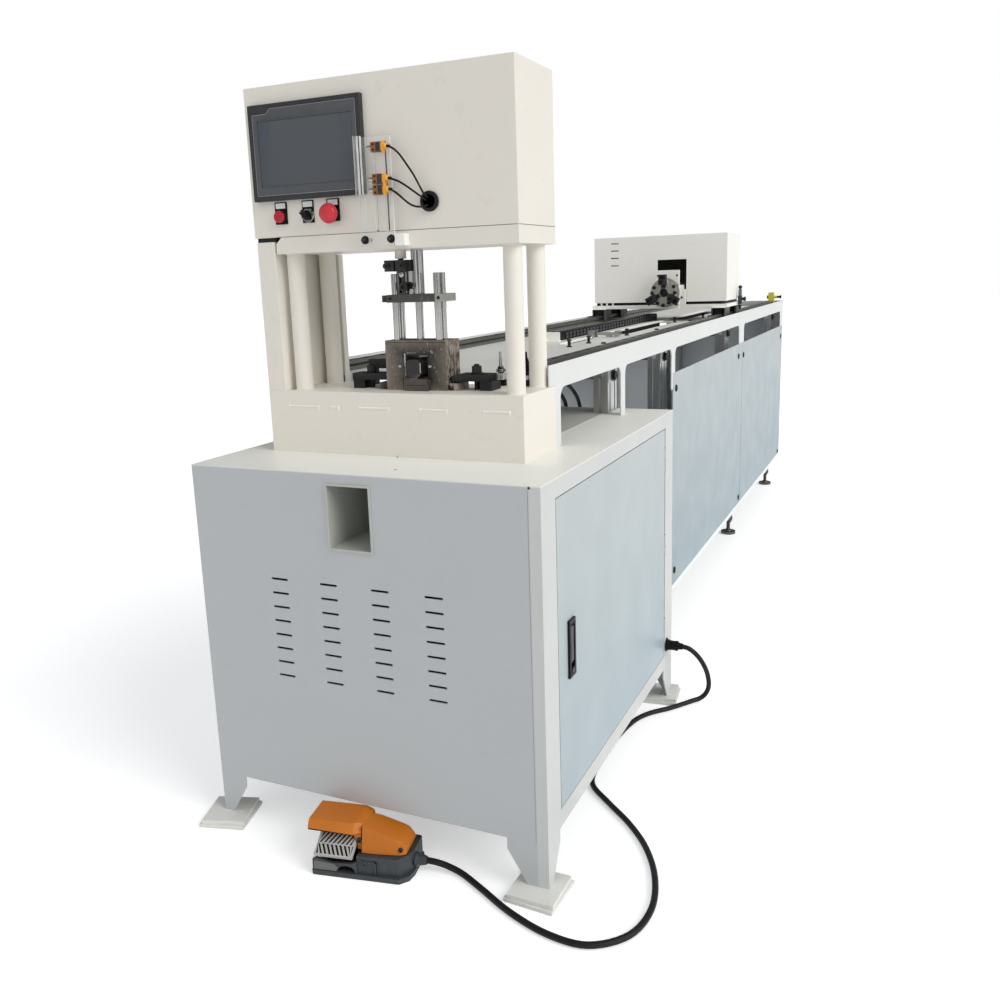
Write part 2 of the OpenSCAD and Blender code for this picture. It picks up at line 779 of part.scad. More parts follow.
// Linear rails on both beams, and the rack on the inner face of the right one
module rails_and_rack() {
    rail_l = 3380;
    side = rail_w / 2;
    tooth_count = 142;
    y0 = 1200;
    y1 = y0 + rack_pitch * tooth_count;
    teeth = [for (i = [0 : tooth_count - 1], k = [0 : 3])
        [rack_face + [5, 0, 0, 5][k], y0 + rack_pitch * (i + [0.1, 0.3, 0.55, 0.75][k])]];
    color([0.3, 0.31, 0.3]) {
        both_sides() plate_xz(386, rail_l) polygon([
            [rail_x - side, bed_z], [rail_x + side, bed_z], [rail_x + side, 984],
            [rail_x + side - 4, 987], [rail_x + side, 991], [rail_x + side, rail_top],
            [rail_x - side, rail_top], [rail_x - side, 991], [rail_x - side + 4, 987],
            [rail_x - side, 984]]);
        translate([0, 0, 978]) linear_extrude(9) polygon(concat(
            [[600, y0], [rack_face + 5, y0]], teeth, [[rack_face + 5, y1], [600, y1]]));
        block([593, y0, 955], [600, y1, 978]);
    }
}

// Cable carrier lying in the trough, link by link, with its end bracket
module cable_chain() {
    pitch = 35;
    color([0.2, 0.2, 0.2]) {
        block([297, 1390, bed_z + 2], [330, 2560, bed_z + 21]);
        for (y = [1395 : pitch : 2540]) block([292, y, bed_z], [335, y + 29, bed_z + 25]);
        block([292, 1338, bed_z], [335, 1390, bed_z + 27]);
    }
}

// Swinging arm with a roller that carries the middle of a long tube
module tube_support() {
    color("dimgray") {
        difference() {
            union() {
                block([400, 1494, 981], [478, 1506, 991]);
                rod_y(support_pivot[0], support_pivot[2], 1494, 1506, 18);
            }
            rod_y(support_pivot[0], support_pivot[2], 1493, 1507, 8 + 2 * fit);
        }
        rod_y(470, 986, 1506, 1546, 18);
    }
}

// Fork and pin of the tube support, with the stop its arm lies on
module support_bracket() {
    color("silver") {
        for (y = [1480, 1508]) block([381, y, bed_z], [403, y + 12, 998]);
        rod_y(support_pivot[0], support_pivot[2], 1474, 1526, 8);
        block([440, 1492, bed_z], [456, 1508, bed_z + 5.7]);
    }
}

module levelling_feet() {
    color("silver") both_sides() for (y = [2722, 3790]) {
        rod_z(621, y, 0, 12, 64);
        rod_z(621, y, 12, panel_z0 + 5, 16);
        translate([621, y, panel_z0 - 11]) cylinder(d = 28, h = 12, $fn = 6);
    }
}

// Yellow rubber stops and their black set screws at the rear of the rails
module end_stops() {
    color("gold") both_sides() {
        block([616, 3768, bed_z], [644, 3794, 1044]);
        rod_x(3781, 1020, 644, 660, 14);
    }
}

// ---------------------------------------------------------------- carriage

module carriage_plate() {
    rear = carriage_y + 315;
    color(white) {
        difference() {
            union() {
                block([98, carriage_y, 1028], [662, rear, 1042]);
                block([376, carriage_y - 15, 1028], [470, carriage_y, 1181]);
                for (x = [380, 455]) plate_yz(x, 10) polygon([[carriage_y, 1042],
                    [carriage_y + 90, 1042], [carriage_y + 8, 1150], [carriage_y, 1150]]);
            }
            rod_y(chuck_x, chuck_z, carriage_y - 16, carriage_y + 1, spindle_d + 2 * fit);
            rod_z(pinion_x, pinion_y, 1027, 1043, 20);
        }
        for (y = [carriage_y - 15, rear - 95]) both_sides() difference() {
            block([602, y, 983], [658, y + 90, 1028]);
            block([rail_x - rail_w / 2 - 0.4, y - 1, 982], [rail_x + rail_w / 2 + 0.4, y + 91, rail_top + 0.5]);
        }
    }
}

module carriage_hood() {
    y0 = carriage_y + 15;
    y1 = carriage_y + 285;
    t = 2;
    color(white) difference() {
        block([104, y0, 1053], [656, y1, 1320]);
        block([104 + t, y0 + t, 1052], [656 - t, y1 - t, 1320 - t]);
        block([374, y0 - 1, 1052], [493, y0 + t + 1, 1223]);
        for (z = [1205.5, 1236, 1266, 1295]) block([176, y0 - 1, z - 2], [209, y0 + t + 1, z + 2]);
    }
    color("black") difference() {
        block([112, y0 + 6, 1042], [648, y1 - 6, 1053]);
        block([120, y0 + 14, 1041], [640, y1 - 14, 1054]);
        block([370, y0 + 5, 1041], [497, y0 + 15, 1054]);
    }
}

// Spindle motor, travel motor and the post of the clamp valve
module carriage_drive() {
    color("dimgray") {
        block([384, carriage_y + 120, 1042], [454, carriage_y + 260, 1056]);
        block([384, carriage_y + 120, 1056], [454, carriage_y + 250, 1128]);
        block([pinion_x - 40, pinion_y - 40, 1042], [pinion_x + 40, pinion_y + 40, 1200]);
        rod_z(pinion_x, pinion_y, 1200, 1260, 70);
        block([664, carriage_y + 230, 1030], [676, carriage_y + 248, 1092]);
        block([662, carriage_y + 230, 1030], [665, carriage_y + 248, 1040]);
    }
}

module drive_pinion() {
    teeth = 12;
    tip = pinion_r;
    root = 19.5;
    pts = [for (i = [0 : teeth - 1], k = [0 : 3]) let (a = 360 / teeth * (i + [0.1, 0.32, 0.58, 0.8][k]),
        r = [root, tip, tip, root][k]) [r * cos(a), r * sin(a)]];
    color("silver") translate([pinion_x, pinion_y, 0]) {
        translate([0, 0, 978.5]) linear_extrude(8) polygon(pts);
        translate([0, 0, 986.5]) cylinder(d = 14, h = 55.5, $fn = smooth);
    }
}

// Chuck body with its flange and spindle
module chuck_body() {
    y0 = carriage_y - 65;
    color([0.35, 0.35, 0.37]) difference() {
        union() {
            rod_y(chuck_x, chuck_z, y0, y0 + 40, chuck_d - 15);
            rod_y(chuck_x, chuck_z, y0 + 18, y0 + 40, chuck_d);
            rod_y(chuck_x, chuck_z, y0 + 40, carriage_y + 40, spindle_d);
        }
        rod_y(chuck_x, chuck_z, y0 - 1, carriage_y + 41, 34);
        for (a = [0, 120, 240]) translate([chuck_x, 0, chuck_z]) rotate([0, a, 0])
            block([-9.3, y0 - 1, 10], [9.3, y0 + 12.3, 60]);
    }
}

// Stepped jaw at its place round the chuck axis
module jaw(angle) {
    y0 = carriage_y - 65;
    color([0.24, 0.24, 0.25]) translate([chuck_x, 0, chuck_z]) rotate([0, angle, 0]) {
        block([-9, y0 - 2, 21], [9, y0 + 12, 56]);
        block([-15, y0 - 25, 32], [15, y0 - 2, 73]);
        block([-12, y0 - 40, 32], [12, y0 - 25, 54]);
    }
}
module chuck_jaw_1() { jaw(0); }
module chuck_jaw_2() { jaw(120); }
module chuck_jaw_3() { jaw(240); }

// ---------------------------------------------------------------- pedal

module at_pedal() { translate(pedal_at) rotate(pedal_turn) children(); }

module pedal_base() {
    color("gray") at_pedal() {
        difference() {
            union() {
                linear_extrude(30) polygon([[0, 0], [189, 0], [204, 14], [pedal_l, 34],
                    [pedal_l, pedal_w], [0, pedal_w]]);
                translate([0, 0, 29]) linear_extrude(21) polygon([[98, 7], [184, 9], [197, 25],
                    [206, 44], [206, 98], [98, 98]]);
                block([0, 84, 30], [98, pedal_w, 50]);
                for (x = [0, 92]) block([x, 66, 30], [x + 6, 84, 56]);
            }
            rod_x(treadle_pin[1], treadle_pin[2], -1, 99, 6);
            block([10, 10, 24], [88, 60, 31]);
        }
        rod_x(pedal_w / 2, 25, pedal_l, pedal_l + 22, 20);
    }
}

// Guard over the treadle and the lower lid over the switch
module pedal_cover() {
    color("orange") at_pedal() {
        difference() {
            plate_xz(15, 77) polygon([[98, 50], [197, 50], [196, 64], [187, 79], [150, 90],
                [112, 98], [98, 99]]);
            block([101, 18, 49], [190, 89, 76]);
        }
        difference() {
            plate_yz(-12, 116) polygon([[16, 89], [26, 107], [99, 107], [104, 100], [108, 50],
                [104.3, 50], [100.5, 96], [97, 102], [29, 102], [21, 89]]);
            block([97, 0, 80], [105, 94, 108]);
        }
        plate_yz(-12, 4) polygon([[19, 90], [27, 104], [98, 104], [102, 99], [106, 51], [86, 51],
            [86, 80], [60, 90]]);
        block([98, 91, 50], [104, 104.8, 90]);
    }
}

// Ribbed treadle on its pin
module pedal_treadle() {
    color("silver") at_pedal() {
        plate_yz(8, 82) polygon([[-3, 47], [40, 71], [72, 77], [73, 72], [42, 66], [-1, 42]]);
        for (x = [8, 86]) plate_yz(x, 4) polygon([[50, 70], [71, 74], [81, 48], [74, 41], [67, 46]]);
        translate([0, -3, 47]) rotate([29.2, 0, 0])
            for (y = [3 : 6 : 46]) block([10, y, -0.5], [88, y + 2.5, 1.6]);
        rod_x(treadle_pin[1], treadle_pin[2], 6.3, 91.7, 11);
        rod_x(treadle_pin[1], treadle_pin[2], 0.5, 97.5, 6 - 2 * fit);
    }
}

module pedal_cable() { color("black") cable(pedal_route, cable_d, 10, 3); }

// ---------------------------------------------------------------- nodes

cabinet_body();
foot_plates();
slug_chute();
cabinet_door();
hinge_pins();
door_lock();
lock_lever();
cable_gland();
hydraulic_unit();
control_plate();
table_box();
side_duct();
columns();
head_beam();
head_hood();
hydraulic_cylinder();
ram_rod();
ram_collar();
punch_holder();
top_plate();
punch();
guide_posts();
die_block();
mandrel();
strap_clamps();
tube_sensors();
hmi_panel();
button_bodies();
red_button();
selector_knob();
estop_head();
sensor_bracket();
ram_sensors();
sensor_lead_top();
sensor_lead_middle();
sensor_lead_bottom();
cable_grommet();
side_beams();
base_frame();
profile_posts();
side_panels();
bed_plate();
rails_and_rack();
cable_chain();
support_bracket();
tube_support();
levelling_feet();
end_stops();
carriage_plate();
carriage_hood();
carriage_drive();
drive_pinion();
chuck_body();
chuck_jaw_1();
chuck_jaw_2();
chuck_jaw_3();
pedal_base();
pedal_cover();
pedal_treadle();
pedal_cable();
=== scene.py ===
"""Looks of the tube punching machine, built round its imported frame. Forms are given in millimetres."""
import random
from math import cos, pi, radians, sin, sqrt

import bmesh
import bpy
from mathutils import Matrix, Vector

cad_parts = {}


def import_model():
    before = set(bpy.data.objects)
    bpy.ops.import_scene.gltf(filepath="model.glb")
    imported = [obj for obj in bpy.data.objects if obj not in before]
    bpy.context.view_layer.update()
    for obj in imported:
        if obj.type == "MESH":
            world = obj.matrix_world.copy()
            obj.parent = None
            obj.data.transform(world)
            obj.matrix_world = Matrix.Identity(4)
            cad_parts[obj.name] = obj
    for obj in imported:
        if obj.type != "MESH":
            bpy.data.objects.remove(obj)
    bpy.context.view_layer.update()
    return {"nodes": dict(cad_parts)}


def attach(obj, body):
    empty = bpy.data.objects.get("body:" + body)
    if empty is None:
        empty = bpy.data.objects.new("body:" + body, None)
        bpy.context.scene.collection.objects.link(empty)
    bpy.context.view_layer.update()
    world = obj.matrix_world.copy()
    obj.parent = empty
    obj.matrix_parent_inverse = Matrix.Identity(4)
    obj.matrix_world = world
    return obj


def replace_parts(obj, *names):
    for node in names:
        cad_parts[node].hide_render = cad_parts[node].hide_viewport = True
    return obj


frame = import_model()
nodes = frame["nodes"]
scene = bpy.context.scene
rng = random.Random(7)
MM = 0.001
X, Y, Z = (1, 0, 0), (0, 1, 0), (0, 0, 1)
LEFT, FRONT, DOWN = (-1, 0, 0), (0, -1, 0), (0, 0, -1)


def new_object(name, data):
    obj = bpy.data.objects.new(name, data)
    scene.collection.objects.link(obj)
    return obj


def spin(degrees, axis):
    return Matrix.Rotation(radians(degrees), 4, axis)


# ---- camera
CAMERA_AT = (1.398, -1.527, 1.1918)
CAMERA_TURN = (-24.9, -12.025, -1.976)  # yaw, pitch and roll in degrees
LENS, SENSOR = 34.254, 36
LENS_SHIFT = (0.0119, -0.0235)
CLIP = (0.05, 60)


def make_camera():
    data = bpy.data.cameras.new("camera")
    data.lens, data.sensor_width = LENS, SENSOR
    data.shift_x, data.shift_y = LENS_SHIFT
    data.clip_start, data.clip_end = CLIP
    cam = new_object("camera", data)
    yaw, pitch, roll = CAMERA_TURN
    turn = spin(-yaw, "Z") @ spin(90 + pitch, "X") @ spin(roll, "Z")
    cam.matrix_world = Matrix.Translation(CAMERA_AT) @ turn
    scene.camera = cam


make_camera()


# ---- materials
mats = {}


class Nodes:
    """A node tree with short ways to add and join nodes."""

    def __init__(self, tree):
        self.tree = tree

    def feed(self, node, inputs):
        """Links each input that is given a socket and sets the others."""
        for key, value in inputs.items():
            if isinstance(value, bpy.types.NodeSocket):
                self.tree.links.new(value, node.inputs[key])
            else:
                node.inputs[key].default_value = value
        return node

    def add(self, kind, inputs=None, **fields):
        node = self.tree.nodes.new("ShaderNode" + kind)
        for key, value in fields.items():
            setattr(node, key, value)
        return self.feed(node, inputs or {})

    def math(self, operation, a, b):
        return self.add("Math", {0: a, 1: b}, operation=operation).outputs[0]

    def rays(self, *kinds):
        """1 for rays of one of the kinds."""
        path = self.add("LightPath").outputs
        total, *others = (path["Is %s Ray" % kind] for kind in kinds)
        for other in others:
            total = self.math("MAXIMUM", total, other)
        return total


class Shader(Nodes):
    """A node material whose fields are worked out in the piece's own space."""

    def __init__(self, name, color, rough, metal=0, shine=0.5):
        self.mat = mats[name] = bpy.data.materials.new(name)
        self.mat.use_nodes = True
        super().__init__(self.mat.node_tree)
        self.bsdf = self.tree.nodes["Principled BSDF"]
        self.rough = rough
        self.color = color
        self.paint = (*color, 1)
        self.normal = {}
        self.feed(self.bsdf, {"Base Color": self.paint, "Roughness": rough, "Metallic": metal,
                              "Specular IOR Level": shine})
        self.coords = self.add("TexCoord").outputs["Object"]

    def noise(self, scale, detail=3, stretch=(1, 1, 1), distortion=0):
        mapping = self.add("Mapping", {"Vector": self.coords, "Scale": stretch})
        return self.add("TexNoise", {"Vector": mapping.outputs["Vector"], "Scale": scale, "Detail": detail,
                                     "Distortion": distortion}).outputs["Fac"]

    def ramp(self, fac, lo, hi, top=1, bottom=0):
        return self.add("MapRange", {"Value": fac, "From Min": lo, "From Max": hi, "To Min": bottom,
                                     "To Max": top}).outputs["Result"]

    def split(self, axis, lo, hi, top=1):
        """0 below lo and top above hi."""
        return self.ramp(self.add("SeparateXYZ", {"Vector": self.coords}).outputs[axis], lo, hi, top)

    def shade(self, factor, lift=0):
        """The first colour, darker or lighter."""
        return [min(c * factor + lift, 1) for c in self.color]

    def tint(self, fac, color):
        """Lays another colour over the paint where fac is 1."""
        mix = self.add("Mix", {"A": self.paint, "B": (*color, 1), "Factor": fac}, data_type="RGBA")
        self.paint = mix.outputs["Result"]
        self.feed(self.bsdf, {"Base Color": self.paint})

    def wear(self, amount, color):
        """Lays another colour over the outer edges."""
        self.tint(self.ramp(self.add("NewGeometry").outputs["Pointiness"], 0.53, 0.62, amount), color)

    def vary_rough(self, fac, amount):
        rough = self.ramp(fac, 0.3, 0.7, self.rough + amount, max(self.rough - amount, 0.02))
        self.feed(self.bsdf, {"Roughness": rough})

    def bump(self, fac, distance, strength):
        node = self.add("Bump", {"Distance": distance, "Strength": strength, "Height": fac, **self.normal})
        self.normal = {"Normal": node.outputs["Normal"]}
        self.feed(self.bsdf, self.normal)


def srgb(*rgb):
    """A screen colour of 0 to 255 as linear light."""
    return [c / 12.92 if c <= 0.04045 else ((c + 0.055) / 1.055) ** 2.4 for c in (v / 255 for v in rgb)]


def paint(name, rgb, lit_top_above=None, lit_side_from=None, upward_light=None, dirt=0.5):
    """Powder coat on sheet metal: fine orange peel, slight waviness, a few smudges, and where asked painted
    light: a lighter top, a lighter corner fold and side past an X, and lighter upwards from a darker, bluer
    bottom.
    """
    s = Shader(name, srgb(*rgb), 0.42, shine=0.45)
    # painted light: the corner fold and the side past this X are painted lighter
    if lit_side_from:
        s.tint(s.split("X", lit_side_from, lit_side_from + 0.001, 0.4), srgb(228, 228, 222))
    # painted light: the top above this height is painted lighter, as if lit from above
    if lit_top_above:
        s.tint(s.split("Z", lit_top_above, lit_top_above + 0.004), srgb(246, 245, 238))
    # painted light: lighter and less blue upwards, darker and bluer towards the bottom
    if upward_light:
        s.tint(s.split("Z", 0.25, 0.9), srgb(*upward_light))
    s.tint(s.ramp(s.noise(2.2, 4), 0.35, 0.75, 0.1), s.shade(0.86))
    s.tint(s.ramp(s.noise(34, 5, distortion=0.6), 0.62, 0.8, 0.18 * dirt), srgb(150, 146, 138))
    s.vary_rough(s.noise(9, 3), 0.07)
    s.bump(s.noise(3.4, 2), 0.004, 0.18)
    s.bump(s.noise(620, 2), 0.00025, 0.35)


def plastic(name, rgb, rough, grain=900, depth=0.00012, dust=0.25, shine=0.5):
    """Moulded, rubber or cast skin with a fine grain and some dust."""
    s = Shader(name, srgb(*rgb), rough, shine=shine)
    s.tint(s.ramp(s.noise(60, 4), 0.5, 0.8, dust), s.shade(0.7, 0.06))
    s.wear(0.35, s.shade(1.5, 0.03))
    s.vary_rough(s.noise(40, 3), 0.08)
    s.bump(s.noise(grain, 2), depth, 0.5)


def machined(name, rgb, rough, stretch=(1, 1, 30)):
    s = Shader(name, srgb(*rgb), rough, 1)
    streak = s.noise(160, 4, stretch)
    s.tint(s.ramp(streak, 0.3, 0.7, 0.35), s.shade(0.6))
    s.wear(0.6, (0.55, 0.55, 0.55))
    s.vary_rough(s.noise(30, 4), 0.1)
    s.bump(streak, 0.00008, 0.5)


def chrome():
    """Hard chrome: mirrors the studio, with a little haze where it has been handled."""
    s = Shader("chrome", srgb(178, 178, 176), 0.13, 1)
    s.tint(s.ramp(s.noise(24, 4, (1, 1, 0.4)), 0.5, 0.8, 0.3), s.shade(0.7))
    s.vary_rough(s.noise(14, 3), 0.05)
    s.bump(s.noise(18, 2), 0.00004, 0.3)


def die_steel(tan=srgb(186, 172, 156), lit_side_x=0.4908):
    """Raw block: mill scale and bright scuffs, most of them on its side towards +X, where they are painted
    light for that lit side.
    """
    s = Shader("die_steel", srgb(52, 46, 42), 0.45, 0.2)
    s.tint(s.ramp(s.noise(34, 8, (1, 1, 0.7), 1.2), 0.42, 0.56), srgb(20, 16, 14))
    s.tint(s.ramp(s.noise(130, 8, (1, 1, 0.6), 0.3), 0.5, 0.62, 0.5), s.shade(1.8))
    s.tint(s.ramp(s.noise(260, 9, (1, 1, 0.5), 0.3), 0.63, 0.68, 0.7), tan)
    scuffs = s.ramp(s.noise(120, 9, (1, 1, 0.5), 0.3), 0.44, 0.6, 0.8)
    # painted light: these tan scuffs are kept to the side towards +X, making that lit side lighter
    s.tint(s.math("MULTIPLY", s.split("X", lit_side_x, lit_side_x + 0.0008), scuffs), tan)
    s.wear(0.8, tan)
    s.vary_rough(s.noise(45, 4), 0.15)
    s.bump(s.noise(60, 6), 0.0005, 0.8)


def dull(name, rgb, wear, highlight_from=None):
    """Oiled or blackened steel: hardly mirrors, with scuffs, and a painted highlight on the end past a given X
    where asked.
    """
    s = Shader(name, srgb(*rgb), 0.5, 0.25)
    s.tint(s.ramp(s.noise(90, 6, (1, 1, 0.3), 0.5), 0.62, 0.72, 0.5), srgb(*wear))
    # painted highlight: the end past this X is painted bright, on the side towards the lamp
    if highlight_from:
        s.tint(s.split("X", highlight_from, highlight_from + 0.002), srgb(190, 187, 180))
    s.wear(0.7, srgb(*wear))
    s.vary_rough(s.noise(45, 4), 0.12)
    s.bump(s.noise(120, 4), 0.00025, 0.6)


def mandrel_steel(nose_z=0.9802):
    """Black nose over a brown foot."""
    s = Shader("mandrel_steel", srgb(64, 54, 50), 0.5, 0.25)
    s.tint(s.ramp(s.noise(60, 5), 0.45, 0.65), srgb(40, 33, 30))
    s.tint(s.split("Z", nose_z, nose_z + 0.001), srgb(20, 20, 21))
    s.wear(0.6, srgb(120, 112, 106))
    s.vary_rough(s.noise(45, 4), 0.12)
    s.bump(s.noise(120, 4), 0.00025, 0.6)


def clear_plastic():
    s = Shader("clear_plastic", srgb(252, 252, 251), 0.05)
    s.feed(s.bsdf, {"Transmission Weight": 0.93, "IOR": 1.49})
    s.vary_rough(s.noise(80, 4), 0.04)
    s.bump(s.noise(40, 2), 0.0003, 0.1)


def screen_glass():
    s = Shader("screen_glass", srgb(84, 89, 94), 0.18, shine=0.6)
    # painted reflection: darker blue vertical streaks and faint light specks on the glass
    s.tint(s.ramp(s.noise(9, 2, (1, 1, 0.12), 0.3), 0.42, 0.62, 0.8), srgb(62, 73, 90))
    s.tint(s.ramp(s.noise(120, 5), 0.66, 0.8, 0.15), srgb(140, 142, 146))
    s.vary_rough(s.noise(60, 4), 0.04)


paint("head_paint", (238, 233, 223))
# painted light: the cabinet's top, corner fold and side are painted lighter, and the door and side panels
# lighter upwards
paint("cabinet_paint", (190, 194, 196), lit_top_above=0.8165, lit_side_from=0.7665)
paint("door_paint", (168, 182, 188), upward_light=(188, 194, 194))
paint("panel_paint", (150, 166, 174), upward_light=(178, 186, 188))
# painted light: near-white paint for sheets that lighten the feeder's shaded interior
paint("interior_light_paint", (240, 244, 247))
paint("bed_paint", (228, 228, 222), dirt=1)
paint("beam_paint", (226, 228, 226))
paint("hood_paint", (252, 250, 243))
paint("chute_paint", (188, 190, 184), dirt=2)
paint("frame_paint", (140, 148, 154))
paint("machine_blue", (70, 96, 120))
paint("motor_grey", (96, 104, 112))
plastic("black_plastic", (12, 12, 13), 0.5, dust=0.06, shine=0.15)
plastic("grey_plastic", (58, 60, 63), 0.5)
plastic("bezel_plastic", (36, 37, 39), 0.5)
plastic("orange_plastic", (190, 108, 20), 0.42, dust=0.1, shine=0.35)
plastic("yellow_plastic", (232, 160, 50), 0.4, dust=0.1)
plastic("sensor_orange", (150, 92, 42), 0.4, dust=0.3)
plastic("red_plastic", (184, 20, 44), 0.32, dust=0.08)
plastic("stop_red", (206, 44, 58), 0.36, dust=0.08)
plastic("label_white", (226, 226, 222), 0.4, dust=0.1)
plastic("rubber", (12, 12, 13), 0.55, grain=1400, dust=0.06, shine=0.3)
plastic("yellow_rubber", (214, 202, 60), 0.5)
plastic("grey_cast", (54, 59, 62), 0.5, grain=420, depth=0.0004, shine=0.35)
# painted light: a lighter copy of grey_cast for one side face of the pedal casting
plastic("cast_grey_lit_copy", (104, 106, 104), 0.5, grain=420, depth=0.0003, shine=0.35)
plastic("treadle_alu", (176, 174, 170), 0.4, dust=0.35)
plastic("weld_paint", (240, 237, 228), 0.35, dust=0)
plastic("surround_plastic", (72, 74, 78), 0.4)
# painted shade: dark grey for the strip in the hood seam and the sheets inside the carriage hood
plastic("painted_shade_grey", (92, 90, 84), 0.6)
machined("alu", (196, 197, 198), 0.36, (1, 1, 0.05))
machined("bright_steel", (178, 178, 176), 0.3)
machined("zinc", (160, 163, 168), 0.42, (1, 1, 1))
machined("dark_steel", (74, 73, 72), 0.42, (1, 1, 1))
machined("rail_steel", (112, 110, 106), 0.4, (30, 0.3, 30))
dull("plate_steel", (52, 54, 52), (120, 120, 116))
dull("top_plate_steel", (46, 48, 46), (110, 110, 106), highlight_from=0.470)
dull("black_steel", (15, 16, 17), (70, 72, 74))
dull("chuck_steel", (158, 156, 149), (214, 213, 208))
for make in (chrome, die_steel, mandrel_steel, clear_plastic, screen_glass):
    make()

# finish: its CAD nodes, with the width of their softened edges in mm
FINISH = {
    "cabinet_paint": {"cabinet_body": 1}, "bed_paint": {"foot_plates": 0.8, "bed_plate": 0.5},
    "chute_paint": {"slug_chute": 0.5}, "door_paint": {"cabinet_door": 1.6},
    "bright_steel": {"hinge_pins": 0.3, "support_bracket": 0.5, "tube_support": 0.8, "drive_pinion": 0.3},
    "black_plastic": {"door_lock": 0.6, "cable_gland": 0.6, "tube_sensors": 0.5, "button_bodies": 0.35,
                      "selector_knob": 1, "cable_chain": 0.8},
    "grey_plastic": {"lock_lever": 1.2}, "machine_blue": {"hydraulic_unit": 1.5},
    "zinc": {"control_plate": 0.6},
    "head_paint": {"table_box": 1.6, "side_duct": 1, "columns": 0.6, "head_beam": 2, "head_hood": 1.6},
    "dark_steel": {"hydraulic_cylinder": 1, "levelling_feet": 0.8},
    "chrome": {"ram_rod": 0.8, "punch": 0.4, "guide_posts": 0.8},
    "black_steel": {"ram_collar": 0.8, "strap_clamps": 1, "chuck_jaw_1": 0.8, "chuck_jaw_2": 0.8,
                    "chuck_jaw_3": 0.8},
    "plate_steel": {"punch_holder": 0.7}, "top_plate_steel": {"top_plate": 0.8},
    "die_steel": {"die_block": 1.2}, "mandrel_steel": {"mandrel": 0.8}, "bezel_plastic": {"hmi_panel": 0.9},
    "red_plastic": {"red_button": 1}, "stop_red": {"estop_head": 0.8},
    "clear_plastic": {"sensor_bracket": 0.2}, "sensor_orange": {"ram_sensors": 0.8},
    "rubber": {"cable_grommet": 1}, "beam_paint": {"side_beams": 0.8}, "frame_paint": {"base_frame": 1.5},
    "alu": {"profile_posts": 0.6}, "panel_paint": {"side_panels": 0.8}, "rail_steel": {"rails_and_rack": 0.5},
    "yellow_rubber": {"end_stops": 1.5}, "hood_paint": {"carriage_plate": 1, "carriage_hood": 0.7},
    "motor_grey": {"carriage_drive": 1.2}, "chuck_steel": {"chuck_body": 1}, "grey_cast": {"pedal_base": 2},
    "orange_plastic": {"pedal_cover": 1.8}, "treadle_alu": {"pedal_treadle": 0.4},
}


def shade_smooth_group():
    group = bpy.data.node_groups.new("shade_smooth", "GeometryNodeTree")
    for way in ("INPUT", "OUTPUT"):
        group.interface.new_socket("Geometry", in_out=way, socket_type="NodeSocketGeometry")
    last = group.nodes.new("NodeGroupInput").outputs[0]
    for domain in ("FACE", "EDGE"):
        node = group.nodes.new("GeometryNodeSetShadeSmooth")
        node.domain = domain
        node.inputs["Shade Smooth"].default_value = True
        group.links.new(last, node.inputs["Geometry"])
        last = node.outputs["Geometry"]
    group.links.new(last, group.nodes.new("NodeGroupOutput").inputs[0])
    return group


SMOOTH = shade_smooth_group()


def add_bevel(obj, width):
    bevel = obj.modifiers.new("bevel", "BEVEL")
    bevel.width = width * MM
    bevel.segments = 2
    bevel.limit_method = "ANGLE"
    bevel.angle_limit = radians(40)
    return bevel


def soften(obj, width):
    """Joins the split corners, rounds the sharp edges and shades the flats flat."""
    obj.modifiers.new("weld", "WELD").merge_threshold = 1e-5
    flat = obj.modifiers.new("flat", "DECIMATE")
    flat.decimate_type = "DISSOLVE"
    flat.angle_limit = radians(0.5)
    add_bevel(obj, width)
    obj.modifiers.new("shade", "NODES").node_group = SMOOTH
    obj.modifiers.new("normals", "WEIGHTED_NORMAL").keep_sharp = False


for finish, widths in FINISH.items():
    for node_name, width in widths.items():
        obj = nodes[node_name]
        obj.data.materials.clear()
        obj.data.materials.append(mats[finish])
        soften(obj, width)


# ---- forms: each is a list of rings of points, joined one to the next and closed at both ends
def move(x, y, z):
    return Matrix.Translation(Vector((x, y, z)) * MM)


def along(axis):
    return Vector(axis).to_track_quat("Z", "Y").to_matrix().to_4x4()


UPRIGHT = spin(90, "X")  # an outline's y becomes its height, and its depth runs to the front


def on_circle(r, count):
    return [(r * cos(2 * pi * k / count), r * sin(2 * pi * k / count)) for k in range(count)]


def circle(place, r, h, sides):
    """Ring of radius r at height h of a place; a tip if r is 0."""
    return [place @ Vector((x * MM, y * MM, h * MM)) for x, y in on_circle(r, sides if r > 0 else 1)]


def lathe(at, axis, outline, sides=24):
    """Turns (distance along, radius) pairs round an axis."""
    place = move(*at) @ along(axis)
    return [circle(place, r, h, sides) for h, r in outline]


def prism(outline, place, depth):
    """An outline in a plane's own x and y, pushed out along its z."""
    return [[place @ Vector((x * MM, y * MM, z * MM)) for x, y in outline] for z in (0, depth)]


def box(x0, y0, z0, x1, y1, z1, place=Matrix()):
    w, d = x1 - x0, y1 - y0
    return prism([(0, 0), (w, 0), (w, d), (0, d)], place @ move(x0, y0, z0), z1 - z0)


def cap_screw(at, axis, d, h):
    """Round head with a recess, its face outwards along the axis."""
    return lathe(at, axis, [(0, d / 2), (h * 0.85, d / 2), (h, d * 0.44), (h, d * 0.27), (h * 0.5, d * 0.25),
                            (h * 0.5, 0)])


def hex_nut(at, axis, across, h, turn=0.2):
    """Nut turned on its axis by radians."""
    place = move(*at) @ along(axis) @ Matrix.Rotation(turn, 4, "Z")
    return [circle(place, across / sqrt(3), z, 6) for z in (0, h)]


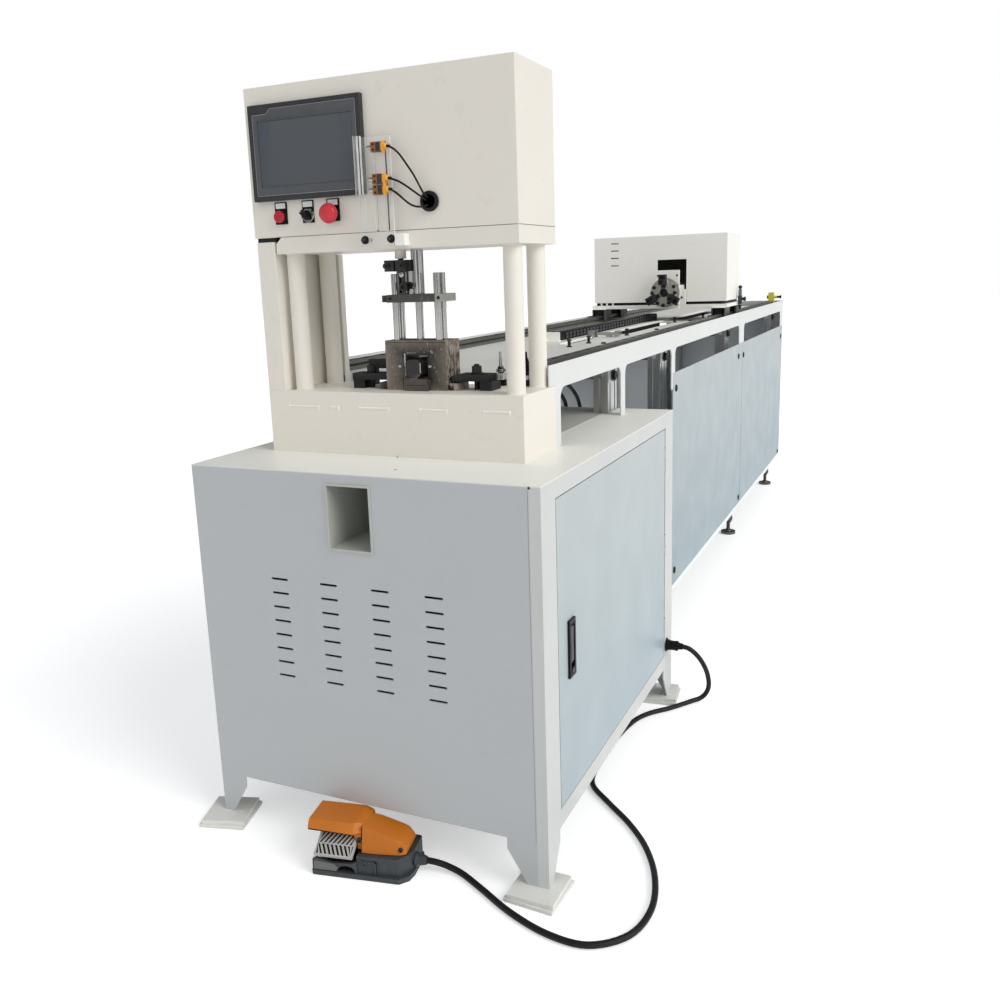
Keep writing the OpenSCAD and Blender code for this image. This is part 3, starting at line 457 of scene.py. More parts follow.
def thread(at, axis, d, length, pitch=1.75):
    """Bar with the ridges of a thread."""
    outline = [(0, d / 2)]
    h = 0
    while h < length - pitch:
        outline += [(h + pitch * 0.25, d / 2), (h + pitch * 0.75, d * 0.43)]
        h += pitch
    return lathe(at, axis, outline + [(length - 1, d * 0.46), (length, d * 0.38)], 20)


def smooth_route(points, steps=6):
    """The curve that the solids follow too."""
    out = []
    last = len(points) - 1
    for i in range(last):
        a, b, c, d = (Vector(points[min(max(j, 0), last)]) for j in range(i - 1, i + 3))
        for k in range(steps):
            s = k / steps
            bend = (2 * a - 5 * b + 4 * c - d) * s * s + (3 * b - a - 3 * c + d) * s ** 3
            out.append(0.5 * (2 * b + (c - a) * s + bend))
    return out + [Vector(points[last])]


def sweep(points, d):
    """Round bent pipe through points."""
    route = smooth_route(points)
    return [circle(move(*p) @ along(after - before), d / 2, 0, 16)
            for before, p, after in zip(route[:1] + route, route, route[1:] + route[-1:])]


def solid(forms):
    """A mesh of closed forms."""
    bm = bmesh.new()
    for rings in forms:
        rings = [[bm.verts.new(p) for p in ring] for ring in rings]
        for low, high in zip(rings, rings[1:]):
            sides = max(len(low), len(high))
            for k in range(sides):
                n = (k + 1) % sides
                quad = (low[k % len(low)], low[n % len(low)], high[n % len(high)], high[k % len(high)])
                bm.faces.new(list(dict.fromkeys(quad)))  # two of the corners are one at a tip
        for end in (rings[0][::-1], rings[-1]):
            if len(end) > 1:
                bm.faces.new(end)
    return bm


def piece(name, forms, finish, bevel=0, body="root", smooth=True, angle=35):
    """Makes forms, or a ready mesh, a piece that rides on a body. Its slot is the finish."""
    bm = forms if isinstance(forms, bmesh.types.BMesh) else solid(forms)
    bmesh.ops.recalc_face_normals(bm, faces=bm.faces)
    mesh = bpy.data.meshes.new(name)
    bm.to_mesh(mesh)
    bm.free()
    mesh.materials.append(mats[finish])
    obj = new_object(name, mesh)
    if smooth:
        mesh.shade_smooth()
        mesh.set_sharp_from_angle(angle=radians(angle))
    if bevel:
        add_bevel(obj, bevel).harden_normals = True
    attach(obj, body)
    return obj


# ---- cords
FLOOR_Z = 7
PEDAL_ROUTE = [
    (836, 912, 175), (854, 914, 170), (874, 922, 150), (889, 936, 119), (897, 951, 84), (898, 962, 50),
    (890, 966, 24), (876, 958, 10),
    *((x, y, FLOOR_Z) for x, y in (
        (856, 936), (811, 873), (768, 824), (742, 770), (728, 690), (722, 600), (722, 510), (738, 420),
        (798, 355), (866, 290), (924, 215), (966, 125), (984, 30), (966, -55), (905, -108), (826, -108),
        (740, -78), (660, -34))),
    (605, -6, 8), (570, -4, 16), (548, -10, 23), (529.3, -13.8, 25)]
# sensor lead: its route, its length in metres
LEADS = {
    "top": ([
        (424.5, 156, 1440), (436, 157, 1436), (449, 160, 1424), (462, 163, 1405), (474, 166, 1386),
        (484, 169, 1366), (491, 173, 1350), (496, 179, 1342), (497, 192, 1339)], 0.142),
    "middle": ([
        (424.5, 156, 1380), (434, 157, 1378), (446, 159, 1373), (460, 162, 1364), (473, 166, 1354),
        (484, 171, 1345), (491, 178, 1338), (494, 186, 1334), (494, 192, 1333)], 0.100),
    "bottom": ([
        (424.5, 156, 1360), (434, 157, 1356), (445, 158, 1348), (457, 160, 1337), (469, 163, 1328),
        (481, 168, 1324), (491, 176, 1325), (496, 184, 1328), (497, 192, 1329)], 0.101),
}


def cord_piece(name, node, points, diameter):
    route = [p * MM for p in smooth_route(points)]
    curve = bpy.data.curves.new(name, "CURVE")
    curve.dimensions = "3D"
    curve.bevel_depth = diameter / 2
    curve.bevel_resolution = 6
    curve.use_fill_caps = True
    line = curve.splines.new("POLY")
    line.points.add(len(route) - 1)
    for point, co in zip(line.points, route):
        point.co = (*co, 1)
    curve.materials.append(mats["rubber"])
    obj = new_object(name, curve)
    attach(obj, "root")
    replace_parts(obj, node)


cord_piece("foot_cable", "pedal_cable", PEDAL_ROUTE, 0.013)
for lead, (route, length) in LEADS.items():
    cord_piece("lead_" + lead, "sensor_lead_" + lead, route, 0.004)


# ---- stage
FLOOR_GLOW = 0.42
# place across the mirrored studio, brightness
STUDIO_BANDS = ((0, 0.8), (0.08, 0.8), (0.14, 0.08), (0.44, 0.12), (0.52, 0.95), (0.6, 0.95),
                (0.66, 0.08), (0.86, 0.14), (0.92, 1))


def stage():
    mesh = bpy.data.meshes.new("floor")
    bm = bmesh.new()
    bmesh.ops.create_grid(bm, x_segments=1, y_segments=1, size=30)
    bm.to_mesh(mesh)
    bm.free()
    s = Shader("floor_white", (0.88, 0.88, 0.88), 0.8)
    s.tint(s.ramp(s.noise(3), 0.3, 0.7, 0.1), (0.86, 0.86, 0.87))
    strength = s.math("MULTIPLY", s.rays("Camera", "Glossy", "Transmission"), FLOOR_GLOW)
    glow = s.add("Emission", {"Color": (1, 1, 1, 1), "Strength": strength})
    total = s.add("AddShader", {0: s.bsdf.outputs[0], 1: glow.outputs[0]})
    s.feed(s.tree.nodes["Material Output"], {"Surface": total.outputs[0]})
    mesh.materials.append(s.mat)
    floor = new_object("floor", mesh)
    floor.location.z = -0.0005


def sun(name, towards, strength, angle, color):
    data = bpy.data.lights.new(name, "SUN")
    data.energy = strength
    data.angle = radians(angle)
    data.color = color
    lamp = new_object(name, data)
    lamp.rotation_mode = "QUATERNION"
    lamp.rotation_quaternion = Vector(towards).to_track_quat("Z", "Y")


def world():
    """White to the eye, a banded studio in mirrors, and a faint blue fill otherwise."""
    made = bpy.data.worlds.new("world")
    made.use_nodes = True
    n = Nodes(made.node_tree)
    back = n.feed(n.tree.nodes["Background"], {"Color": (0.94, 0.97, 1, 1), "Strength": 0.45})
    white = n.add("Background", {"Color": (1, 1, 1, 1)})
    parts = n.add("SeparateXYZ", {"Vector": n.add("TexCoord").outputs["Generated"]})
    across = n.add("MapRange", {"Value": parts.outputs["X"], "From Min": -1})
    bands = n.add("ValToRGB", {"Fac": across.outputs["Result"]})
    for k, (at, value) in enumerate(STUDIO_BANDS):
        stop = bands.color_ramp.elements[k] if k < 2 else bands.color_ramp.elements.new(at)
        stop.position = at
        stop.color = (value, value, value, 1)
    studio = n.add("Background", {"Color": bands.outputs["Color"]})
    mirror = n.add("MixShader", {0: n.rays("Glossy"), 1: back.outputs[0], 2: studio.outputs[0]})
    mix = n.add("MixShader", {0: n.rays("Camera", "Transmission"), 1: mirror.outputs[0], 2: white.outputs[0]})
    n.feed(n.tree.nodes["World Output"], {"Surface": mix.outputs[0]})
    scene.world = made


stage()
world()
sun("key", (0.86, -0.16, 0.6), 1.9, 40, (1, 0.99, 0.97))
sun("fill", (-0.2, -0.85, 0.5), 0.36, 70, (1, 0.97, 0.94))
scene.view_settings.view_transform = "Standard"


# ---- touch panel
def screen():
    w, h, r = 227.6, 129.6, 3
    corners = ((w - r, h - r, 0), (r, h - r, 90), (r, r, 180), (w - r, r, 270))
    glass = [(x + r * cos(a), z + r * sin(a)) for x, z, start in corners
             for a in (radians(start + 22.5 * k) for k in range(5))]
    piece("screen", [prism(glass, move(109.7, 174, 1384.7) @ UPRIGHT, 0.5)], "screen_glass",
          0.2)


def screen_border():
    line = [(97, 1367), (347, 1367), (347, 1538), (142, 1538), (132, 1528), (97, 1528)]
    bars = []
    for (x0, z0), (x1, z1) in zip(line, line[1:] + line[:1]):
        d = Vector((x1 - x0, 0, z1 - z0)).normalized() * 0.45
        n = Vector((-d.z, 0, d.x))
        p, q = Vector((x0, 172.85, z0)) - d, Vector((x1, 172.85, z1)) + d
        low = [v * MM for v in (p - n, q - n, q + n, p + n)]
        bars.append([low, [v + Vector((0, 0.0003, 0)) for v in low]])
    piece("screen_border", bars, "zinc", smooth=False)


def screen_surround():
    inner = [(98, 1368), (346, 1368), (346, 1537), (142.4, 1537), (132.4, 1527), (98, 1527)]
    hole = [(109.3, 1384.3), (337.7, 1384.3), (337.7, 1514.7), (109.3, 1514.7)]
    bm = bmesh.new()
    for wall in ((hole[0], hole[1], inner[1], inner[0]), (hole[1], hole[2], inner[2], inner[1]),
                 (hole[2], hole[3], *inner[4:1:-1]), (hole[3], hole[0], inner[0], inner[5], inner[4])):
        bm.faces.new([bm.verts.new(Vector((x, 172.8, z)) * MM) for x, z in wall])
    bmesh.ops.remove_doubles(bm, verts=bm.verts, dist=1e-6)
    grown = bmesh.ops.extrude_face_region(bm, geom=list(bm.faces))["geom"]
    lifted = [v for v in grown if isinstance(v, bmesh.types.BMVert)]
    bmesh.ops.translate(bm, verts=lifted, vec=(0, 0.00019, 0))
    piece("screen_surround", bm, "surround_plastic", smooth=False)


# ---- buttons
RED_X, SELECTOR_X, STOP_X = 145, 213, 275
BUTTON_Z = 1323


def buttons():
    def ring(x, outline, y=182.5):
        return lathe((x, y, BUTTON_Z), FRONT, outline, 48)

    blanks = [box(x - 12, 182, 1340, x + 12, 182.6, 1351) for x in (RED_X, SELECTOR_X, STOP_X)]
    piece("legend_blanks", blanks, "label_white", 0.3)
    bezel = ring(SELECTOR_X, [(0, 15), (2.6, 14.8), (4.6, 12.6), (4.6, 10.4), (1, 10), (0, 10)])
    piece("selector_ring", [bezel], "chrome")
    rings = [ring(STOP_X, [(0, 15), (3.4, 14.9), (4.8, 13.8), (4.8, 11.9), (3.6, 11.7), (0, 11.7)]),
             ring(RED_X, [(0, 15), (3.4, 14.9), (4.8, 14.2), (4.8, 12.8), (0, 12.7)])]
    piece("button_rings", rings, "black_plastic")
    crown = ring(RED_X, [(0, 12.1), (4.9, 12.3), (6.2, 11.6), (6.9, 9), (6.6, 6), (6.5, 0)], 178.2)
    piece("red_button_crown", [crown], "red_plastic", body="red_button")
    lean, reach = radians(-45), 9.6
    at = (SELECTOR_X + reach * sin(lean), 164.2, BUTTON_Z + reach * cos(lean))
    piece("selector_dot", [lathe(at, FRONT, [(0, 1.3), (0.35, 1.3), (0.5, 0)], 16)], "label_white",
          body="selector")
    rib = [(-3.2, 0.2), (-2.6, 0.9), (2.2, 0.9), (3, 0.2)]
    grip = [lathe((STOP_X + x, 164.5, BUTTON_Z + z), FRONT, rib, 8) for x, z in on_circle(19.6, 24)]
    piece("estop_grip", grip, "red_plastic", body="estop")


# ---- ram sensors and their bracket
def sensors():
    left, middle, right, steel, dark = ([] for _ in range(5))
    for z in (1440, 1380.5, 1360):
        left += [box(391, 150, z - 9.5, 402, 163, z + 9.5), box(402, 152, z - 7.5, 406, 163, z + 7.5)]
        middle += [box(402.5, 149.4, z - 9.2, 412.5, 163, z + 9.2)]
        dark += [box(404, 149, z + dz - 0.9, 411, 149.6, z + dz + 0.9) for dz in (-4.5, 0, 4.5)]
        right += [box(412.5, 150.5, z - 7, 419, 163, z + 7), box(415, 149.2, z - 10.5, 418.5, 160, z + 10.5),
                  lathe((419, 156, z), X, [(0, 6.4), (3, 6), (5.5, 3.6), (5.6, 2.6)], 20)]
        steel += [lathe((391, 156.5, z), LEFT, [(0, 4.4), (9, 4.4), (9.8, 3.6), (11.4, 3.4), (11.6, 0)], 20)]
        dark += [cap_screw((397, 150, z + dz), FRONT, 4.2, 1.4) for dz in (5, -5)]
        dark += [lathe((424, 156, z), X, [(0, 2.9), (7, 2.5), (8, 2.1)], 16)]
    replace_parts(piece("sensor_bodies", left, "sensor_orange", 0.5), "ram_sensors")
    piece("sensor_middles", middle, "grey_plastic", 0.5)
    piece("sensor_ends", right, "yellow_plastic", 0.5)
    piece("sensor_noses", steel, "bright_steel")
    piece("sensor_trim", dark, "black_plastic")


def bracket():
    # painted highlights: white strips along the clear bracket's edges
    bars = [box(353.6, 158.7, 1352.7, 358.2, 163.4, 1464.3), box(361.2, 158.7, 1352.7, 363.2, 162.9, 1464.3),
            box(389.2, 163.4, 1283, 392, 165.2, 1451)]
    bars += [box(x, 162.7, 1254, x + 1.1, 165.3, 1461) for x in (350.8, 427.2)]
    bars += [box(x, 162.8, z0, x + 0.9, 163.3, 1350) for x, z0 in ((364.5, 1290), (386.6, 1286))]
    piece("bracket_edge_highlights", bars, "label_white", 0.6)
    piece("bracket_foot", [box(427.4, 163.6, 1252.2, 449.4, 184.6, 1275.8)], "hood_paint", 0.6)
    slots = [box(415.9, 163.3, 1283, 418.1, 165.2, 1451), box(388.6, 163.2, 1282, 392.4, 165.2, 1284.4),
             box(358.8, 158.9, 1354, 360.8, 160, 1463)]
    piece("bracket_slots", slots, "grey_plastic", smooth=False)
    screws = []
    for x in (360, 420):
        screws += [cap_screw((x, 163.1, 1266), FRONT, 12.8, 7.6),
                   lathe((x, 163.2, 1266), FRONT, [(0, 8.4), (1.2, 8.4), (1.4, 7.9), (1.4, 6)], 28)]
    piece("bracket_screws", screws, "black_plastic")


# ---- die set
def die_set():
    glints = []
    for x, x0, x1 in ((381, 376, 382), (451.5, 450.5, 456.5)):
        glints += [lathe((x, 240.2, 1006), FRONT, [(0, 3.4), (1.8, 3.2), (2.2, 2.4), (2.2, 0)]),
                   box(x0, 239.7, 1004.6, x1, 240.3, 1006.6)]
    glints += [box(391.8, 239.2, 1006, 394.6, 240.4, 1033), box(392.8, 239.4, 986, 394.2, 240.4, 1006),
               box(398, 239.4, 1033.4, 420, 240.4, 1034.4), box(435.4, 225.8, 993, 437.4, 228.5, 1014)]
    piece("die_glints", glints, "bright_steel", bevel=0.3)
    post = [lathe((390.5, 251, 1196), FRONT, [(0, 6), (3.4, 5.8), (4.2, 4.6), (4.2, 0)]),
            lathe((410, 253, 1155), Z, [(0, 5.4), (47.6, 5.4)]),
            # painted highlight: a bright strip on the holder
            box(398.6, 250.2, 1158, 400.6, 251.2, 1201)]
    piece("holder_post_and_highlight", post, "bright_steel", bevel=0.3, body="ram")
    knob = [lathe((410.5, 250, 1174), FRONT, [(0, 6.6), (6, 6.6), (7, 5.8), (7, 3), (4, 2.6), (4, 0)]),
            box(405, 246.6, 1166, 415.6, 250, 1168)]
    piece("holder_knob", knob, "black_plastic", bevel=0.3, body="ram")
    joints = [box(x - 0.6, 239.7, 956, x + 0.6, 240.4, z1) for x, z1 in ((386.5, 984), (450.4, 1001))]
    joints += [box(346.5, 239.8, 1055, 491.5, 240.2, 1056), box(400, 225.6, 966.5, 448, 226.2, 967.4)]
    piece("die_joints", joints, "black_plastic", smooth=False)
    screws = [cap_screw((397, 246.5, 1171), FRONT, 18.6, 6.4)]
    screws += [cap_screw((x, 243.1, 1214.5), FRONT, 9.5, 5) for x in (361, 396)]
    screws += [cap_screw((x, 240.2, 1147), FRONT, 7, 1.6) for x in (365, 479)]
    piece("ram_screws", screws, "black_steel", body="ram")
    nuts = []
    for x in (288, 544):
        nuts += [lathe((x, 275, 988), Z, [(0, 13), (2, 13), (2.4, 12.5), (2.4, 6.5)], 32),
                 hex_nut((x, 275, 990.4), Z, 18, 13.8, 0.4), thread((x, 275, 1003.8), Z, 12.2, 4.4)]
        nuts += [lathe((x, 275, z), Z, [(0, 6.1), (0.8, 6.6), (1.6, 6.1)], 20) for z in (970.5, 964, 958)]
    piece("stud_nuts", nuts, "black_steel", bevel=0.5)


def light_sensors():
    hulls = [box(555, 341.6, 968, 575.5, 360, 981),
             lathe((624, 351, 968), Z, [(0, 9.6), (8, 9.6), (9, 8.6), (9, 0)], 28)]
    rods = [lathe((565, 351, 984), Z, [(0, 9.4), (1.2, 10), (5.6, 10), (6.6, 9.2), (6.6, 5.4), (12, 5.4),
                                       (13, 3.4), (42.6, 2.8), (43, 0)], 28)]
    rods += [lathe((565 + x, 351 + y, 984.4), Z, [(0, 1), (5.6, 1)], 6) for x, y in on_circle(9.7, 12)]
    caps = [box(613.6, 342, 986, 634.4, 360, 1007),
            lathe((624, 351, 1007), Z, [(0, 6), (5, 5.4), (8, 3.4), (19.5, 3), (20, 0)], 20)]
    caps += [box(x, 341.2, 969.5, x + 1.4, 341.8, 979.5) for x in (557, 560.5, 564, 567.5, 571)]
    for x in (553, 612):
        caps += [cap_screw((x + 5, 344, 967), Z, 5, 3), cap_screw((x + 20, 344, 967), Z, 4, 1)]
    piece("sensor_hulls", hulls, "label_white", 0.5)
    piece("sensor_rods", rods, "bright_steel")
    piece("sensor_caps", caps, "black_plastic", bevel=0.5)


# ---- table and head
def welds():
    beads = []
    for x0, x1 in ((128, 202), (236, 253), (309, 377), (454, 514), (599, 654)):
        outline = [(-2, 0.8), (-1, 3.2), (1.6, 3.6), (3.6, 2.2)]
        h = 4
        while h < x1 - x0 - 4:
            outline += [(h, 1.9 + 0.3 * rng.random()), (h + 1.6, 2.5 + 0.35 * rng.random()), (h + 2.8, 1.7)]
            h += 3
        outline += [(x1 - x0 - 1.4, 2.2), (x1 - x0 + 0.6, 3.6), (x1 - x0 + 3, 3.2), (x1 - x0 + 4, 0.8)]
        beads.append(lathe((x0, 185.8, 922), X, outline, 12))
        beads += [lathe((x, 185.6, 914), Z, [(0, 0.6), (1.4, 2), (5, 2.4), (9, 2.8)], 12)
                  for x in (x0 - 1, x1 + 1)]
    piece("weld_beads", beads, "weld_paint")


def head_trim():
    # painted shade: a dark strip along the seam between hood and beam
    seam = [box(126, 184.85, 1281.4, 683, 186, 1282.7), box(684, 186, 1281.4, 685.15, 379, 1282.7)]
    piece("hood_seam_shade", seam, "painted_shade_grey", smooth=False)
    # painted shade: black strips fill the gap between the side duct and the hood
    gap_strips = [box(*lo, 1273.1, *hi, 1281.8) for lo, hi in (
        ((76.5, 187), (124, 190)), ((76.5, 190), (79.5, 383)), ((76.5, 380), (118, 383)),
        ((116, 190), (119, 380)))]
    piece("duct_gap_shade", gap_strips, "rubber", 0.4)
    column_welds = [lathe((x, y, z), axis, [(0, 20.6), (1.2, 20.8), (2.6, 19.4), (2.8, 19)], 48)
                    for x in (149, 657) for y in (218, 338) for z, axis in ((955, Z), (1247, DOWN))]
    piece("column_welds", column_welds, "head_paint")
    lip = [(0, 19.8), (1.2, 19.4), (2.2, 17.6), (2.2, 13.2), (0, 12.6)]
    piece("grommet_lip", [lathe((499, 180.2, 1334), FRONT, lip, 48), hex_nut((499, 191.2, 1334), Y, 38, 5)],
          "rubber")


# ---- cabinet and feeder
RAILS_X = (630, 130)
BED_Z = 975
FEEDER_X = 380  # the middle of the feeder


def side_trim():
    latch = [(0, 11.5), (2, 11.3), (3, 10.2), (3, 6.4), (1.6, 6), (1.6, 0)]
    places = ((1440, 819), (2531, 820), (2644, 816), (3766, 815), (1431, 222), (2590, 202), (3767, 192))
    latches = [lathe((x, y, z), axis, latch, 28) for y, z in places for x, axis in ((685, X), (75, LEFT))]
    piece("panel_latches", latches, "black_plastic")
    screws = [lathe((768, -0.1, 816.4), FRONT, [(0, 3), (0.5, 2.8), (0.7, 1.6), (0.3, 0)], 16)]
    screws += [lathe((x, y, 820), Z, [(0, 3), (0.5, 2.8), (0.7, 1.8), (0.3, 0)], 16)
               for x, y in ((458, 66), (396, 181))]
    screws += [lathe((789, 888, z), Z, [(0, 3.4), (1.6, 3.3), (2.2, 2.2), (2.3, 0)], 20)
               for z in (260, 495, 730)]
    piece("cabinet_screws", screws, "dark_steel")
    gland = [lathe((790.2, 912, 175), X, [(0, 19), (1.4, 18.8), (2, 17.8), (2, 12)], 36)]
    gland += [box(815.5, 910.8 + y, 173.8 + z, 823, 913.2 + y, 176.2 + z) for y, z in on_circle(12.2, 10)]
    piece("gland_trim", gland, "black_plastic", bevel=0.3)
    lock = [hex_nut((795, 144, 416), X, 9, 1.2), box(794.8, 128, 405, 795.4, 160, 406.5),
            box(794.8, 128, 519.5, 795.4, 160, 521)]
    piece("lock_trim", lock, "grey_plastic", 0.2, "door")


def window_details():
    bolt = [(0, 15), (2.5, 15), (3, 12), (9, 12), (11, 10), (11, 5.5), (6, 5), (6, 0)]
    bolts = [lathe((x, y, 916), axis, bolt) for y in (916, 1462, 2503, 3738)
             for x, axis in ((641, X), (119, LEFT))]
    bolts.append(prism([(-190, 946), (-176, 946), (-160, 868), (-176, 868)],
                       move(676, 2905, 0) @ spin(90, "Z") @ UPRIGHT, 1.6))
    piece("post_bolts", bolts, "black_steel")
    gussets = []
    for y in (870, 1410, 2455, 3690):
        for x in (641.2, 117.6):
            gussets += [box(x, y1, 900, x + 1.2, y1 + 14, 946) for y1 in (y + 2, y + 64)]
            gussets.append(box(x, y + 2, 934, x + 1.2, y + 78, 946))
    piece("post_gussets", gussets, "alu", smooth=False)
    pipes = {"outer": (450, [(845, 819.6), (862, 862), (935, 884), (1017, 882), (1075, 872), (1143, 840),
                             (1187, 800), (1200, 740), (1196, 520), (1130, 380), (1000, 330), (889, 320)]),
             "inner": (432, [(845, 819.6), (858, 846), (935, 862), (1016, 858), (1065, 847), (1107, 820),
                             (1124, 790), (1130, 740), (1126, 540), (1070, 420), (980, 382), (889, 375)])}
    for name, (x, route) in pipes.items():
        piece("oil_pipe_" + name, [sweep([(x, y, z) for y, z in route], 11)], "black_steel")
    # painted light: bright sheets inside the side panels and at the rear end lighten the shaded interior seen
    # through the windows
    shading_sheets = [box(x, y0, 150, x + 1, y1, z1) for x in (79.4, 679.6)
              for y0, y1, z1 in ((905, 1398, 738), (1406, 2620, 868), (2632, 3755, 868))]
    shading_sheets.append(box(84, 3814.4, 160, 676, 3815.4, 960))
    piece("interior_light_sheets", shading_sheets, "interior_light_paint", smooth=False)
    # painted shade: a darker sheet on the cabinet top under the feeder, where its shadow falls
    piece("shade_sheet_under_feeder", [box(122, 386, 819.6, 628, 968, 820.6)], "chute_paint", 0.2)


def bed_bolts():
    plug = [(0, 7.2), (0.25, 7), (0.3, 6), (0.1, 0)]
    plugs = [lathe((x, 426 + 80 * k, 999.05), Z, plug, 14) for x in RAILS_X for k in range(42)]
    piece("rail_plugs", plugs, "black_plastic")
    bolts = [cap_screw((x, y, BED_Z), Z, 15, 4.6) for x, y in (
        (515, 1230), (515, 1850), (515, 2380), (515, 3020), (210, 1230), (210, 2380))]
    bolts += [cap_screw((392, y, 998), Z, 5, 1) for y in (1488, 1514)]
    pin = [(0, 8), (3, 8), (3.4, 4.4), (17, 4.4), (17.4, 6.6), (22, 6.6), (23, 5.6), (23, 0)]
    bolts += [lathe((x, y, BED_Z), Z, pin, 20) for x, y in (
        (464, 1243), (451, 1105), (471, 2298), (486, 1575), (520, 2600))]
    piece("bed_bolts", bolts, "black_steel")
    tray = [box(396, 1205, 948.4, 472, 3260, 950)]
    tray += [box(x, y0, 950, x + 0.6, y1, 974.4)
             for y0, y1, x1 in ((1215, 1470, 411.4), (1640, 2330, 465.4), (2500, 3250, 465.4))
             for x in (402, x1)]
    piece("slot_tray", tray, "black_plastic", smooth=False)


def cable_carrier():
    links = []
    for y in range(1395, 2540, 35):
        links += [box(335, y + 2, z - 3.2, 336, y + 27, z + 3.2) for z in (983.5, 994)]
        links += [lathe((335, y + 14.5, 988), X, [(0, 5.2), (1.6, 4.8), (1.6, 2.6), (0.8, 2.4), (0.8, 0)], 16),
                  box(297, y + 5, 1000, 330, y + 24, 1001.2)]
    piece("chain_links", links, "grey_plastic", 0.3)
    plates = [box(286, 1316, BED_Z, 341, 1337.6, 978), box(290, 1334.6, 978, 337, 1337.6, 1003)]
    plates += [box(x, y0, BED_Z, x + 1.6, y1, 979) for x in (386, 399.4)
               for y0, y1 in ((1200, 1466), (1536, 3260))]
    plates += [cap_screw((x, 1326, 978), Z, 7, 3) for x in (295, 332)]
    piece("chain_bracket", plates, "hood_paint", 0.4)


def stop_knobs():
    knobs = []
    for side in (1, -1):
        x0, out, back = FEEDER_X + side * 250, (side, 0, 0), (-side, 0, 0)
        knobs += [thread((x0 + side * 30, 3781, 1020), out, 12, 14),
                  lathe((x0 + side * 44, 3781, 1020), out, [(0, 9), (5, 9), (7, 7.5), (7.6, 0)]),
                  lathe((x0 - side * 14, 3781, 1020), back, [(0, 9), (6, 9), (8, 6), (8.4, 0)])]
    piece("stop_knobs", knobs, "black_plastic")


def foot_sleeves():
    """Threaded sleeves and ball joints on the rods of the feeder's levelling feet."""
    sleeve = [(0, 12), (2, 14), (60, 15), (90, 18), (102, 18), (106, 13), (112, 12), (113, 8.2)]
    ball = [(0, 14), (3, 13), (7, 12), (9, 9.5), (12, 8.2)]
    sleeves = [lathe((x, y, z), axis, outline) for x in (139, 621) for y in (2722, 3790)
               for z, axis, outline in ((163.6, DOWN, sleeve), (12.2, Z, ball))]
    piece("foot_sleeves", sleeves, "dark_steel")


# ---- carriage
BLOCKS_Y = (2370, 2605)


def rail_blocks():
    half = [(601.4, 982.6), (616.4, 982.6), (616.4, 1000), (643.6, 1000), (643.6, 982.6), (658.6, 982.6),
            (658.6, 1027.5), (601.4, 1027.5)]
    halves = (half, [(2 * FEEDER_X - x, z) for x, z in half])
    blocks = [prism(outline, move(0, y + 90.6, 0) @ UPRIGHT, 91.2) for y in BLOCKS_Y for outline in halves]
    piece("rail_blocks", blocks, "plate_steel", 1.2, "carriage")
    seals = []
    for y in BLOCKS_Y:
        for x in RAILS_X:
            for y0 in (y - 1.4, y + 90.8):
                seals += [box(x + sx, y0, 984, x + sx + 7, y0 + 1.2, 1026) for sx in (-22, 15)]
                seals.append(box(x - 22, y0, 1001, x + 22, y0 + 1.2, 1026))
    piece("block_seals", seals, "black_plastic", bevel=0.4, body="carriage")


def carriage():
    skirt = [box(*lo, 1042.3, *hi, 1052.7) for lo, hi in (
        ((111.6, 2405.5), (648.4, 2407)), ((111.6, 2662), (648.4, 2664.4)), ((111.6, 2407), (113, 2662)),
        ((647, 2407), (648.4, 2662)))]
    piece("carriage_skirt", skirt, "black_plastic", bevel=0.3, body="carriage")
    tabs = [box(x, 2403.6, 1042, x + 7, 2405.6, 1053) for x in (128, 152, 178)]
    tabs.append(prism([(470, 1042.4), (494.6, 1042.4), (494.6, 1104), (486, 1104), (486, 1121), (470, 1121)],
                      move(0, 2392, 0) @ UPRIGHT, 10))
    piece("skirt_tabs", tabs, "hood_paint", 0.3, "carriage")
    # painted shade: dark sheets on the inside of the carriage hood, where shade falls
    shading_sheets = [box(110, 2660, 1060, 650, 2662, 1312), box(110, 2406, 1308, 650, 2660, 1310),
              box(108.5, 2406, 1056, 110, 2660, 1310), box(650, 2406, 1056, 651.5, 2660, 1310)]
    piece("hood_inner_shade", shading_sheets, "painted_shade_grey", body="carriage", smooth=False)
    fittings = [
        lathe((670, 2624, 1092), Z, [(0, 4), (3, 4), (4, 6), (8, 8), (12, 8), (16, 5), (17, 0)]),
        lathe((676, 2624, 1052), X, [(0, 6), (8, 6), (10, 9), (16, 9), (18, 6), (18.4, 0)]),
        box(662.6, 2612.6, 1032, 677.4, 2635.4, 1066),
        lathe((670, 2624, 1027.5), DOWN, [(0, 8), (5, 8), (7, 5), (16, 5), (17, 0)], 20)]
    fittings += [cap_screw((x, y, 1042), Z, 12, 5) for y in (2396, 2560, 2690) for x in (640, 120)]
    fittings += [cap_screw((x, 2370, z), FRONT, 8, 2) for x in (384, 462) for z in (1044, 1160)]
    fittings.append(cap_screw((479, 2382, 1071), FRONT, 9, 3))
    piece("carriage_fittings", fittings, "black_steel", body="carriage")


# ---- chuck
CHUCK_X, CHUCK_Z = 419, 1092


